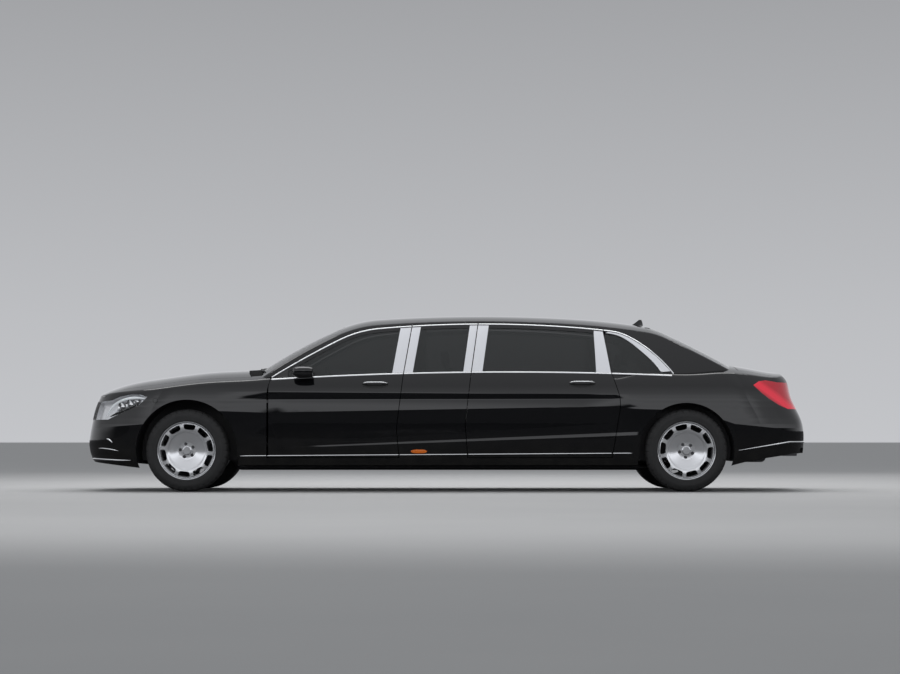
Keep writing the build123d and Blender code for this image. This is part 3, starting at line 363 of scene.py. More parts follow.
def paint():
    """Deep black gloss paint, dusty low down, with the side's shallow forms pressed into its normals: the
    hollow under the shoulder of the doors, the lean of the wings and quarters, and the low door crease."""
    f = Finish("black_paint", PAINT, IOR=1.5)
    x, z = f.part("X"), f.part("Z")
    dust = f.node("ShaderNodeMapRange", None, {0: z, 1: 0.55, 2: 0.20, 3: 0.0, 4: 1.0})
    film = dust * f.noise(9, 5)
    f.feed("Base Color", f.blend(film, PAINT, FILM))
    f.feed("Roughness", 0.035 + film * 0.35 + f.noise(60) * 0.012)
    share = (z - (x * 0.020 + 0.722)) / (0.1542 - x * 0.029)
    hollow = f.curve(share, HOLLOW) * HOLLOW_DEEP * f.curve(x, HOLLOW_ALONG)
    foot = f.curve(x, LEAN_FOOT)
    above = f.node("ShaderNodeMath", {"operation": "MAXIMUM"}, {0: z, 1: foot})
    below = f.node("ShaderNodeMath", {"operation": "MINIMUM"}, {0: z, 1: foot})
    climb = f.curve(above, LEAN_CLIMB) * LEAN_DEEP
    fall = f.node("ShaderNodeMath", {"operation": "MAXIMUM"}, {0: below - 0.38, 1: 0.0}) * 0.09
    lean = (climb + fall) * f.curve(x, LEAN_ALONG)
    over = (z - 0.440 - x * 0.0366) / (x * 0.006 + 0.0185)
    crease = f.curve(over, CREASE) * CREASE_DEEP * f.curve(x, CREASE_ALONG)
    f.bump(hollow + lean + crease, 1.0, 1.0)
    return f


def metal(name, color, roughness, grain=0.04, scale=40, share=1.0):
    """Bare metal; share is how metallic it is."""
    f = Finish(name, color, Metallic=share)
    spots = f.noise(scale, 4)
    f.feed("Roughness", roughness + spots * grain)
    shade = tuple(c * 0.86 for c in color)
    f.feed("Base Color", f.blend(f.noise(scale * 0.2, 3), color, shade))
    return f


def brushed(name, color):
    """Brushed metal with fine lines."""
    f = Finish(name, color, Metallic=1.0)
    stretched = f.node("ShaderNodeMapping", None, {"Vector": f.place, "Scale": (900, 900, 12)}, 0)
    lines = f.node("ShaderNodeTexNoise", None, {"Vector": stretched, "Scale": 1.0, "Detail": 2.0})
    f.feed("Roughness", 0.24 + lines * 0.16)
    f.bump(lines, 0.12, 0.0003)
    return f


def rubber(name, color, roughness=0.75, scale=180):
    """Rubber or plain plastic with fine spots."""
    f = Finish(name, color)
    spots = f.noise(scale, 5)
    dusty = tuple(c * 1.8 + 0.004 for c in color)
    f.feed("Base Color", f.blend(f.noise(11, 4), color, dusty))
    f.feed("Roughness", roughness - 0.12 + spots * 0.2)
    f.bump(spots, 0.25, 0.0006)
    return f


def leather(name, color):
    """Grained leather, a little worn."""
    f = Finish(name, color)
    grain = f.node("ShaderNodeTexVoronoi", {"feature": "SMOOTH_F1"}, {"Vector": f.place, "Scale": 320.0})
    worn = tuple(c * 1.5 + 0.004 for c in color)
    f.feed("Base Color", f.blend(f.noise(7, 4), color, worn))
    f.feed("Roughness", 0.42 + grain * 0.25)
    f.bump(grain, 0.35, 0.0008)
    return f


def cloth(name, color, scale=900):
    """Close cloth with a weave."""
    f = Finish(name, color, Roughness=0.92, Sheen_Weight=0.3)
    weave = f.noise(scale)
    f.feed("Base Color", f.blend(f.noise(scale * 0.4, 3), color, tuple(c * 1.7 for c in color)))
    f.bump(weave, 0.5, 0.001)
    return f


def glass(name, color, tint, roughness=0.02):
    """Thick dark glass; tint is how much light it stops."""
    f = Finish(name, color, IOR=1.5, Coat_Weight=0.0, Specular_IOR_Level=0.6)
    f.surface.inputs["Alpha"].default_value = tint
    f.feed("Roughness", roughness + f.noise(3, 2) * 0.02)
    f.material.surface_render_method = "DITHERED"
    return f


def red_lamp(name):
    """Red lamp plastic: deep red with a brighter band where the bulbs sit, and fine upright ribs."""
    f = Finish(name, (0.30, 0.006, 0.010), IOR=1.5)
    line = f.part("Z") + f.part("X") * 0.69
    band = f.curve(line, [(2.60, 0.10), (2.80, 0.30), (2.835, 1.0), (2.875, 0.95), (2.92, 0.35), (3.1, 0.25)])
    rows = f.upright_waves(34.0, 0.4)
    # Painted glow: along the band the red is lighter, and below it gives off a weak emission
    shade = f.blend(band * 0.8 + rows * 0.2, (0.20, 0.002, 0.006), (0.70, 0.02, 0.045))
    f.feed("Base Color", shade)
    f.feed("Emission Color", f.blend(band * 0.75 + rows * 0.25, (0.03, 0.0, 0.001), (0.50, 0.015, 0.035)))
    f.surface.inputs["Emission Strength"].default_value = 0.55
    f.feed("Roughness", 0.09 + f.noise(25, 2) * 0.03)
    f.bump(rows, 0.2, 0.002)
    return f


def lens(name, color, alpha, ribs=0.0):
    """Clear or amber lamp plastic, ribbed if ribs has a scale."""
    f = Finish(name, color, IOR=1.55, Coat_Weight=0.6, Coat_Roughness=0.02)
    f.surface.inputs["Alpha"].default_value = alpha
    f.feed("Roughness", 0.05 + f.noise(25, 2) * 0.03)
    if ribs:
        f.bump(f.upright_waves(ribs), 0.3, 0.002)
    return f


MATERIALS = {}


def make_materials():
    """Every finish, by the name that the pieces ask for."""
    MATERIALS.update({
        "black_paint": paint(),
        "floor_black": rubber("floor_black", (0.012, 0.012, 0.012), 0.8, 60),
        "black_plastic": rubber("black_plastic", (0.010, 0.010, 0.011), 0.55, 260),
        "gloss_trim": Finish("gloss_trim", (0.004, 0.004, 0.004), Coat_Weight=0.4),
        "tinted_glass": glass("tinted_glass", (0.010, 0.013, 0.013), 0.72),
        "clear_glass": glass("clear_glass", (0.02, 0.025, 0.024), 0.42),
        "chrome": metal("chrome", (0.78, 0.79, 0.80), 0.07, 0.03),
        "brushed_silver": brushed("brushed_silver", (0.72, 0.73, 0.75)),
        "clear_lens": lens("clear_lens", (0.30, 0.31, 0.32), 0.05),
        "red_lens": red_lamp("red_lens"),
        "amber_lens": lens("amber_lens", (0.75, 0.16, 0.01), 0.95, 60.0),
        "steel": metal("steel", (0.16, 0.16, 0.165), 0.45, 0.25, 30),
        "cast_metal": metal("cast_metal", (0.32, 0.32, 0.33), 0.5, 0.2, 50),
        "black_leather": leather("black_leather", (0.022, 0.021, 0.021)),
        "dark_fabric": cloth("dark_fabric", (0.030, 0.030, 0.032)),
        "tyre_rubber": rubber("tyre_rubber", (0.014, 0.014, 0.0145), 0.82, 120),
        "polished_wheel": metal("polished_wheel", (0.76, 0.77, 0.79), 0.17, 0.03, 30, 0.70),
        "brake_metal": metal("brake_metal", (0.10, 0.10, 0.105), 0.42, 0.2, 40),
        "lamp_silver": metal("lamp_silver", (0.86, 0.87, 0.90), 0.20, 0.1, 30, 0.45),
        "lamp_red": rubber("lamp_red", (0.20, 0.004, 0.006), 0.3, 60),
        "lamp_white": rubber("lamp_white", (0.72, 0.75, 0.78), 0.25, 90),
        "lamp_ball": glass("lamp_ball", (0.05, 0.055, 0.065), 1.0, 0.03),
        # Painted shade for the door handles' recesses
        "cup_black": rubber("cup_black", (0.004, 0.004, 0.0042), 0.55, 200),
        "cowl_black": Finish("cowl_black", (0.004, 0.004, 0.004), Specular_IOR_Level=0.05),
        "seam_black": rubber("seam_black", (0.002, 0.002, 0.002), 0.8, 200),
        "plate_white": rubber("plate_white", (0.55, 0.55, 0.54), 0.45, 150),
        "reflector": metal("reflector", (0.85, 0.86, 0.88), 0.06, 0.02),
    })
    gloss = MATERIALS["gloss_trim"]
    gloss.feed("Roughness", 0.10 + gloss.noise(50) * 0.06)
    cowl = MATERIALS["cowl_black"]
    cowl.feed("Roughness", 0.75 + cowl.noise(90) * 0.2)


def finish_of(name):
    """The material of a finish."""
    return MATERIALS[name].material


def dress(node, finish):
    """Gives a CAD node its finish."""
    data = NODES[node].data
    data.materials.clear()
    data.materials.append(finish_of(finish))


def placed_in_scene(name, data):
    """A new object in the scene."""
    obj = bpy.data.objects.new(name, data)
    bpy.context.scene.collection.objects.link(obj)
    return obj


def new_piece(name, data, finish, body, slot=None, replaced=(), place=(0, 0, 0)):
    """A piece of the car, riding on a body."""
    obj = placed_in_scene(name, data)
    obj.location = place
    data.materials.clear()
    data.materials.append(finish_of(finish))
    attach(obj, body)
    slot = slot or SLOT_OF.get(finish, finish)
    slot in SLOTS
    if replaced:
        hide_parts(*replaced)
    return obj


def mesh_of(name, points, faces, smooth=True):
    """A mesh from points and faces."""
    data = bpy.data.meshes.new(name)
    data.from_pydata([tuple(p) for p in points], [], faces)
    data.update()
    if smooth:
        data.shade_smooth()
    return data


def tidy(data, sharp=None):
    """Welds doubled points, turns all faces outwards and keeps edges above an angle in degrees sharp."""
    bm = bmesh.new()
    bm.from_mesh(data)
    bmesh.ops.remove_doubles(bm, verts=bm.verts, dist=2e-5)
    bmesh.ops.recalc_face_normals(bm, faces=bm.faces)
    bm.to_mesh(data)
    bm.free()
    data.shade_smooth()
    if sharp:
        data.set_sharp_from_angle(angle=math.radians(sharp))


def shaped_piece(name, part, finish, body, slot=None, sharp=None, replaced=()):
    """A piece from points and faces."""
    data = mesh_of(name, *part)
    tidy(data, sharp)
    return new_piece(name, data, finish, body, slot, replaced)


def connected(data, count):
    """A number for every vertex that tells which connected piece of the mesh it belongs to."""
    edges = np.zeros(len(data.edges) * 2, int)
    data.edges.foreach_get("vertices", edges)
    edges = edges.reshape(-1, 2)
    label = np.arange(count)
    while True:
        lowest = np.minimum(label[edges[:, 0]], label[edges[:, 1]])
        before = label.copy()
        np.minimum.at(label, edges[:, 0], lowest)
        np.minimum.at(label, edges[:, 1], lowest)
        label = label[label]
        if (label == before).all():
            return label


def true_normals(data):
    """Corner normals from the true surfaces wherever a face lies on one of them."""
    count = len(data.polygons)
    flat = np.zeros(count * 3)
    data.polygons.foreach_get("normal", flat)
    flat = flat.reshape(-1, 3)
    centres = np.zeros(count * 3)
    data.polygons.foreach_get("center", centres)
    centres = centres.reshape(-1, 3)
    points = np.zeros(len(data.vertices) * 3)
    data.vertices.foreach_get("co", points)
    points = points.reshape(-1, 3)
    corners = np.zeros(len(data.loops) * 3)
    data.corner_normals.foreach_get("vector", corners)
    corners = corners.reshape(-1, 3)
    owner = np.zeros(len(data.loops), int)
    data.loops.foreach_get("vertex_index", owner)
    totals = np.zeros(count, int)
    data.polygons.foreach_get("loop_total", totals)
    polygon_of = np.repeat(np.arange(count), totals)
    patch = connected(data, len(data.vertices))
    for depth in SURFACES:
        off = np.abs(depth(points))
        worst = np.zeros(patch.max() + 1)
        np.maximum.at(worst, patch, off)
        facing = (outward(depth, centres) * flat).sum(1)
        chosen = (worst[patch[owner]] < 0.020) & (facing[polygon_of] > 0.88)
        if chosen.any():
            corners[chosen] = outward(depth, points[owner[chosen]])
    data.normals_split_custom_set(corners.tolist())


def body_of(node):
    """The body that a CAD node belongs to."""
    for body, members in frame["record"]["behaviour"]["bodies"].items():
        if node in members:
            return body


def skin(node, finish):
    """A panel with the CAD node's own mesh and the true surface's normals."""
    data = NODES[node].data.copy()
    data.name = node + "_skin"
    true_normals(data)
    slot = next(s["material_slot"] for s in frame["record"]["subparts"] if s["node"] == node)
    return new_piece(node + "_skin", data, finish, body_of(node), slot, [node])


def sweep(name, path, normals, profile, finish, body, slot=None, taper=()):
    """A profile of (across, out) points carried along a path over a surface."""
    path, normals = np.asarray(path), np.asarray(normals)
    along = np.gradient(path, axis=0)
    along /= np.linalg.norm(along, axis=1, keepdims=True)
    across = np.cross(along, normals)
    across /= np.linalg.norm(across, axis=1, keepdims=True)
    rings, count = [], len(profile)
    size = np.ones(len(path))
    reach = max(len(path) // 4, 2)
    if "first" in taper:
        size[:reach] = np.sqrt(np.linspace(0.04, 1, reach))
    if "last" in taper:
        size[-reach:] = np.sqrt(np.linspace(1, 0.04, reach))
    for p, a, n, k in zip(path, across, normals, size):
        rings += [p + (a * u + n * v) * k for u, v in profile]
    faces = []
    for i in range(len(path) - 1):
        for k in range(count):
            j = (k + 1) % count
            faces.append((i * count + k, i * count + j, (i + 1) * count + j, (i + 1) * count + k))
    faces.append(tuple(range(count)))
    faces.append(tuple((len(path) - 1) * count + k for k in reversed(range(count))))
    data = mesh_of(name, rings, faces)
    bm = bmesh.new()
    bm.from_mesh(data)
    bmesh.ops.recalc_face_normals(bm, faces=bm.faces)
    bm.to_mesh(data)
    bm.free()
    data.shade_smooth()
    data.set_sharp_from_angle(angle=math.radians(50))
    return new_piece(name, data, finish, body, slot)


def half_round(width, height, sink=0.002, steps=6):
    """A low rounded strip profile, sunk a little into the surface."""
    points = [(-width / 2, -sink)]
    for i in range(steps + 1):
        angle = math.pi * i / steps
        points.append((-width / 2 * math.cos(angle), height * math.sin(angle)))
    return points + [(width / 2, -sink)]


def on_cabin(x, z, side, proud=0.0):
    """A point on the cabin's side and the normal there."""
    point = np.array([[x, side * float(cabin_half(x, z)), z]])
    normal = outward(cabin_depth, point)[0]
    return point[0] + normal * proud, normal


def body_half(x, z):
    """Half width of the lower body at a place along it and a height."""
    low, high = 0.0, 1.1
    for _ in range(40):
        mid = (low + high) / 2
        inside = body_depth(np.array([[x, mid, z]]))[0] > 0
        low, high = (mid, high) if inside else (low, mid)
    return low


def hit(depth, starts, way, reach=1.3):
    """Where rays meet the surface of a depth, and the outward normals there."""
    starts, way = np.asarray(starts, float), np.asarray(way, float)
    near, far = np.zeros(len(starts)), np.full(len(starts), float(reach))
    for _ in range(30):
        mid = (near + far) / 2
        inside = depth(starts + way * mid[:, None]) > 0
        near, far = np.where(inside, near, mid), np.where(inside, mid, far)
    points = starts + way * far[:, None]
    normals = outward(depth, points)
    for i, (start, line) in enumerate(zip(starts, np.broadcast_to(way, starts.shape))):
        found = OUTSIDE.ray_cast(Vector(start), Vector(line), reach)
        if found[0] is not None and (Vector(points[i]) - found[0]).length < 0.12:
            points[i] = found[0]
    return points, normals


def outside_of(nodes):
    """A tree of the outer panels' triangles, for finding places on them."""
    points, faces = joined([([v.co for v in NODES[n].data.vertices],
                             [tuple(f.vertices) for f in NODES[n].data.polygons]) for n in nodes])
    return BVHTree.FromPolygons(points, faces)


def from_side(depth, places, side):
    """Points and normals where side-view places (x, z) meet a surface."""
    places = np.asarray(places, float)
    flat = places.reshape(-1, 2)
    starts = np.stack([flat[:, 0], np.full(len(flat), side * 1.25), flat[:, 1]], 1)
    points, normals = hit(depth, starts, (0, -side, 0))
    return points.reshape(places.shape[:-1] + (3,)), normals.reshape(places.shape[:-1] + (3,))


def from_end(depth, places, end):
    """Points and normals where front-view places (y, z) meet a surface; end -1 is the nose."""
    places = np.asarray(places, float)
    flat = places.reshape(-1, 2)
    starts = np.stack([np.full(len(flat), end * 3.45), flat[:, 0], flat[:, 1]], 1)
    points, normals = hit(depth, starts, (-end, 0, 0), 2.5)
    return points.reshape(places.shape[:-1] + (3,)), normals.reshape(places.shape[:-1] + (3,))


def round_corner(depth, height, stop, side, end, count=60):
    """Points and normals from the middle of the nose or tail round the corner to x = stop.

    height gives the height at x."""
    angles = np.radians(np.linspace(0, 88, count))
    z = np.full(count, height(stop))
    centre = np.array([end * 2.55, 0.0, 0.0])
    for _ in range(3):
        way = np.stack([end * np.cos(angles), side * np.sin(angles), np.zeros(count)], 1)
        starts = centre + way * 1.6 + np.stack([np.zeros(count), np.zeros(count), z], 1)
        points, normals = hit(depth, starts, -way, 1.6)
        z = np.array([height(x) for x in points[:, 0]])
    keep = points[:, 0] * end > stop * end
    return points[keep], normals[keep]


def span(lows, highs, rows=6):
    """A grid of places between a lower and an upper line, with close rows at both edges."""
    lows, highs = np.asarray(lows, float), np.asarray(highs, float)
    t = np.concatenate([[0], np.linspace(0.05, 0.95, rows), [1]])
    grid = lows[:, None] + (highs - lows)[:, None] * t[None, :, None]
    first, last = grid[:1] + (grid[1:2] - grid[:1]) * 0.06, grid[-1:] + (grid[-2:-1] - grid[-1:]) * 0.06
    return np.concatenate([grid[:1], first, grid[1:-1], last, grid[-1:]])


def band(x, low, high, rows):
    """A grid of places between a lower and an upper height along x."""
    return span(*(np.stack(np.broadcast_arrays(x, z), 1) for z in (low, high)), rows)


def plate(name, places, proud, finish, body, slot=None, sink=0.003, bulge=0.0):
    """A thin raised plate with eased edges over a grid of surface points and normals."""
    grid, normals = places
    m, n = grid.shape[:2]
    u, v = np.linspace(-1, 1, m)[:, None], np.linspace(-1, 1, n)[None, :]
    lift = np.full((m, n), proud) + bulge * (1 - u * u) * (1 - v * v)
    for edge in (np.s_[0], np.s_[-1], np.s_[:, 0], np.s_[:, -1]):
        lift[edge] = proud * 0.45
    everything = np.zeros((m + 2, n + 2, 3))
    everything[1:-1, 1:-1] = grid + normals * lift[..., None]
    rim = np.pad(grid - normals * sink, ((1, 1), (1, 1), (0, 0)), mode="edge")
    for edge in (np.s_[0], np.s_[-1], np.s_[:, 0], np.s_[:, -1]):
        everything[edge] = rim[edge]
    faces = grid_faces(m + 2, n + 2)
    flat = everything.reshape(-1, 3)
    a, b, c = (flat[i] for i in faces[len(faces) // 2][:3])
    if np.cross(b - a, c - a) @ normals[m // 2, n // 2] < 0:
        faces = [f[::-1] for f in faces]
    data = mesh_of(name, flat, faces)
    data.set_sharp_from_angle(angle=math.radians(40))
    return new_piece(name, data, finish, body, slot)


def grid_faces(m, n, closed=False):
    """Quads of a grid of m by n points, stored row by row; closed joins the last row to the first."""
    faces = []
    for i in range(m if closed else m - 1):
        k = (i + 1) % m
        faces += [(i * n + j, i * n + j + 1, k * n + j + 1, k * n + j) for j in range(n - 1)]
    return faces


def lathe(profile, steps=96):
    """Points and faces of a shape turned about Y, from (radius, y) points."""
    points = []
    for i in range(steps):
        a = 2 * math.pi * i / steps
        points += [(r * math.cos(a), y, r * math.sin(a)) for r, y in profile]
    return points, grid_faces(steps, len(profile), True)


def joined(parts):
    """One list of points and faces from several."""
    points, faces = [], []
    for more, more_faces in parts:
        start = len(points)
        points += [tuple(p) for p in more]
        faces += [tuple(start + i for i in f) for f in more_faces]
    return points, faces


def placed(part, matrix):
    """Points moved by a matrix."""
    points, faces = part
    return [tuple(matrix @ Vector(p)) for p in points], faces


OUTSIDE = outside_of(["bonnet", "boot_lid", "front_bumper", "rear_bumper", "front_wings", "rear_quarters",
                      "middle_panels", "sills", "roof", "windscreen", "rear_window", "headlamps", "tail_lamps",
                      "door_front_left", "door_front_right", "door_rear_left", "door_rear_right", "grille"])


def shut_x(line, z):
    """Where a gap between the upper panels stands at a height."""
    low, high = SHUT_LINES[line]
    t = (z - SHUT_LEVELS[0]) / (SHUT_LEVELS[1] - SHUT_LEVELS[0])
    return low + (high - low) * max(t, 0.0)


def split_by_panels(points):
    """Runs of a side-view path inside each of the four side panels."""
    for lead, rear, body in SIDE_PANELS:
        run = [p for p in points if p[0] > shut_x(lead, p[1]) + SHUT_GAP / 2
               and (rear is None or p[0] < shut_x(rear, p[1]) - SHUT_GAP / 2)]
        if len(run) > 4:
            yield lead, body, run[:-1:12] + [run[-1]]


def window_line(grow, start=-1.567, stop=2.015, step=0.002):
    """The window outline's upper line as side-view points, grown outwards."""
    points = []
    for x in np.arange(start, stop, step):
        z = float(chain_height(WINDOW_ARCS, np.array([x]))[0])
        for a, b, centre, radius in WINDOW_ARCS:
            if a - 1e-9 <= x <= b + 1e-9:
                away = np.array([x, z]) - centre
                away /= np.linalg.norm(away) * math.copysign(1, radius)
        points.append((x + away[0] * grow, z + away[1] * grow))
    return points


BACKDROP = [(0.0, 0.56), (0.05, 0.52), (0.25, 0.30)]
MIRRORED_NEAR = [(0.0, 0.05), (0.075, 0.06), (0.115, 1.45), (0.20, 1.55), (0.34, 1.0), (0.55, 0.75),
                 (1.0, 0.9)]
MIRRORED_FAR = [(0.0, 0.75), (0.08, 0.75), (0.3, 0.5), (0.6, 0.45), (1.0, 0.9)]
# Name, place, turn in degrees, size and power of each lamp
LAMPS = (("overhead", (0, 1.5, 6.5), (0, 0, 0), (10, 4), 420),
         ("near_side", (-2, -11, 5.0), (65, 0, -8), (12, 3), 300),
         ("far_side", (2, 9, 6.0), (-58, 0, 0), (12, 3), 200))
CAMERA_PLACE, FLOOR_REACH = (0.032, -21.77, 0.459), 400


def sky_gradient(kit, stops):
    """A gradient over the height of the view direction."""
    up = kit.node("ShaderNodeSeparateXYZ", None, {0: kit.node("ShaderNodeTexCoord", output="Generated")}, "Z")
    shades = [(at, (value * 0.975, value * 0.99, value * 1.03, 1)) for at, value in stops]
    return kit.node("ShaderNodeValToRGB", {"stops": shades}, {0: up})


def build_floor():
    """The pale floor, which gloss sees darker so that the body's lower half stays deep black."""
    far = FLOOR_REACH
    data = mesh_of("floor", [(-far, -far, 0), (far, -far, 0), (far, far, 0), (-far, far, 0)], [(0, 1, 2, 3)],
                   False)
    f = Finish("floor_pale", (0.42, 0.42, 0.42), Roughness=0.85)
    pale = f.blend(f.noise(0.8, 6), (0.40, 0.40, 0.405), (0.44, 0.44, 0.44))
    mirrored = f.node("ShaderNodeLightPath", output="Is Glossy Ray")
    f.feed("Base Color", f.blend(mirrored, pale, (0.035, 0.035, 0.038)))
    data.materials.append(f.material)
    placed_in_scene("floor", data)


def build_world(strength):
    """Even light, a backdrop for the camera, and brighter bands above the horizon for gloss to mirror."""
    world = bpy.data.worlds.new("studio")
    bpy.context.scene.world = world
    world.use_nodes = True
    kit = Kit(world.node_tree)
    kit.tree.nodes.remove(kit.tree.nodes["Background"])
    direction = kit.node("ShaderNodeTexCoord", output="Generated")
    across = kit.node("ShaderNodeSeparateXYZ", None, {0: direction}, "Y")
    side = kit.node("ShaderNodeMapRange", None, {0: across, 1: -0.4, 2: 0.4})
    bands = kit.blend(side, sky_gradient(kit, MIRRORED_NEAR), sky_gradient(kit, MIRRORED_FAR))
    seen = kit.node("ShaderNodeBackground", None, {0: sky_gradient(kit, BACKDROP)})
    last = kit.node("ShaderNodeBackground", None, {0: (0.94, 0.97, 1.0, 1), 1: strength})
    for ray, light in (("Is Glossy Ray", kit.node("ShaderNodeBackground", None, {0: bands})),
                       ("Is Camera Ray", seen), ("Is Transmission Ray", seen)):
        last = kit.node("ShaderNodeMixShader", None,
                        {0: kit.node("ShaderNodeLightPath", output=ray), 1: last, 2: light})
    kit.tree.links.new(last.link, kit.tree.nodes["World Output"].inputs[0])


def build_stage(settings):
    """The floor, the world, three lamps and the camera of the photograph's view."""
    build_floor()
    build_world(settings.sky_strength)
    for name, place, turn, size, power in LAMPS:
        lamp = bpy.data.lights.new(name, "AREA")
        lamp.shape, lamp.size, lamp.size_y = "RECTANGLE", size[0], size[1]
        lamp.energy = power * settings.lamp_strength
        obj = placed_in_scene(name, lamp)
        obj.location = place
        obj.rotation_euler = tuple(math.radians(a) for a in turn)
        obj.visible_glossy = name == "overhead"
    lens_data = bpy.data.cameras.new("camera")
    lens_data.lens, lens_data.sensor_width = settings.lens, 36
    lens_data.clip_end = 1000
    camera = placed_in_scene("camera", lens_data)
    camera.location = CAMERA_PLACE
    camera.rotation_euler = (math.radians(90 + settings.camera_tilt), 0, 0)
    bpy.context.scene.camera = camera
    bpy.context.scene.view_settings.view_transform = "Standard"


def build_panels():
    """The painted panels, each on its node's own shape."""
    for node in ("bonnet", "boot_lid", "front_bumper", "rear_bumper", "front_wings", "rear_quarters",
                 "middle_panels", "roof", "sills", "door_front_left", "door_front_right",
                 "door_rear_left", "door_rear_right"):
        skin(node, "black_paint")
    for node in ("mirror_left", "mirror_right"):
        dress(node, "black_paint")


def build_glass():
    """The windows, the windscreen clearer than the rest."""
    skin("windscreen", "clear_glass")
    for node in ("rear_window", "fixed_side_glass", "glass_front_left", "glass_front_right",
                 "glass_rear_left", "glass_rear_right"):
        skin(node, "tinted_glass")


def dress_frame():
    """Finishes for every CAD node that stays."""
    plan = {"floor_pan": "floor_black", "cowl": "cowl_black", "grille": "chrome", "headlamps": "clear_lens",
            "tail_lamps": "red_lens", "exhaust": "steel", "front_subframe": "steel", "front_arms": "steel",
            "wheel_arch_liners": "black_plastic", "rear_axle": "steel", "engine": "cast_metal",
            "radiator": "cast_metal", "dashboard": "black_leather", "steering_column": "black_plastic",
            "parcel_shelf": "dark_fabric", "partition": "black_leather", "seats_front": "black_leather",
            "seats_facing": "black_leather", "seats_rear": "black_leather", "steering_wheel": "black_leather",
            "carrier_front_left": "steel", "carrier_front_right": "steel"}
    for node, finish in plan.items():
        dress(node, finish)
    for corner in CORNERS:
        dress("tyre_" + corner, "tyre_rubber")
        dress("rim_" + corner, "polished_wheel")


def cabin_places(x, z, side):
    """Points and normals on the cabin's side for arrays of side-view places."""
    x, z = np.broadcast_arrays(np.asarray(x, float), np.asarray(z, float))
    flat = np.stack([x.ravel(), side * cabin_half(x.ravel(), z.ravel()), z.ravel()], 1)
    shape = x.shape + (3,)
    return flat.reshape(shape), outward(cabin_depth, flat).reshape(shape)


def window_height(x):
    """Height of the side windows' upper line at x."""
    return chain_height(WINDOW_ARCS, np.asarray(x, float))


# Gap, the places of the cover's two edges from it, the first edge's place at the top, the body it rides on
TRIMS = (("front", -0.100, -0.004, -0.100, "door_front_{}"), ("front", 0.004, 0.080, 0.004, "car_body"),
         ("rear", -0.071, -0.004, -0.071, "car_body"), ("rear", 0.004, 0.098, 0.004, "door_rear_{}"),
         ("tail", -0.135, -0.005, -0.085, "door_rear_{}"))
QUARTER_INNER = [(1.419, 1.413), (1.535, 1.388), (1.636, 1.329), (1.721, 1.261), (1.806, 1.184), (1.874, 1.108),
                 (1.908, 1.060)]
QUARTER_OUTER_X = [1.449, 1.552, 1.653, 1.755, 1.840, 1.925, 1.992]


def build_pillar_trims():
    """Brushed metal covers on the pillars between the side windows."""
    share, t = np.meshgrid([0, 0.03, 0.35, 0.65, 0.97, 1], np.linspace(0, 1, 16))
    for side_name, side in SIDES:
        for number, (line, first, last, top, body) in enumerate(TRIMS):
            z = 1.05 + t * 0.4
            for _ in range(4):
                height = (z - SHUT_LEVELS[0]) / (SHUT_LEVELS[1] - SHUT_LEVELS[0])
                base = SHUT_LINES[line][0] + (SHUT_LINES[line][1] - SHUT_LINES[line][0]) * height
                left = first + (top - first) * t
                x = base + left + (last - left) * share
                low = np.vectorize(belt_height)(x) + 0.011
                z = low + (window_height(x) - 0.003 - low) * t
            plate(f"pillar_trim_{line}_{number}_{side_name}", cabin_places(x, z, side), 0.0025,
                  "brushed_silver", body.format(side_name))
        outer = np.stack([QUARTER_OUTER_X, window_height(QUARTER_OUTER_X) - 0.002], 1)
        grid = span(fine_line(QUARTER_INNER, 36), fine_line(outer, 36), 4)
        plate("quarter_trim_" + side_name, cabin_places(grid[..., 0], grid[..., 1], side), 0.0035,
              "brushed_silver", "car_body")


def strip(name, points, normals, width, height, finish, body, taper=()):
    """A rounded strip over a surface; taper names the ends, first or last, that run out thin."""
    keep = np.linspace(0, len(points) - 1, min(len(points), 60)).astype(int)
    points, normals = points[keep], normals[keep]
    return sweep(name, points, normals, half_round(width, height), finish, body, taper=taper)


SILL_RUNS = (("wing", -1.824, -1.592, "car_body"), ("door_front", -1.580, -0.424, "door_front_{}"),
             ("middle", -0.412, 0.182, "car_body"), ("door_rear", 0.194, 1.458, "door_rear_{}"),
             ("quarter", 1.474, 1.64, "car_body"))


def build_low_chrome():
    """The bright strip along the sill and those round the bumpers."""
    for side_name, side in SIDES:
        for label, start, stop, body in SILL_RUNS:
            x = np.linspace(start, stop, 30)
            points, normals = from_side(body_depth, np.stack([x, 0.3186 + (x + 1.55) * 0.007], 1), side)
            ends = {"wing": ("first",), "quarter": ("last",)}.get(label, ())
            strip(f"sill_strip_{label}_{side_name}", points, normals, 0.012, 0.005, "chrome",
                  body.format(side_name), ends)
        points, normals = round_corner(body_depth, lambda x: 0.2775 + max(-2.9 - x, 0) * 0.05, -2.777,
                                       side, -1)
        beside = points[:, 0] > -3.19
        strip(f"nose_lip_{side_name}", points[beside], normals[beside], 0.020, 0.009, "chrome", "car_body",
              ("first", "last"))
        for label, low, high, start, stop, width in (("upper_fin", 0.468, 0.434, -3.02, -2.962, 0.016),
                                                     ("intake_fin", 0.385, 0.362, -3.10, -2.907, 0.013)):
            x = np.linspace(start, stop, 24)
            z = low + (high - low) * ((x - start) / (stop - start)) ** 2
            points, normals = from_side(body_depth, np.stack([x, z], 1), side)
            strip(f"nose_{label}_{side_name}", points, normals, width, 0.008, "chrome", "car_body",
                  ("first", "last"))
        points, normals = round_corner(body_depth, lambda x: 0.366 + (min(x, 3.041) - 2.58) * 0.1627, 2.575,
                                       side, 1)
        strip(f"tail_strip_{side_name}", points, normals, 0.016, 0.007, "chrome", "car_body", ("last",))


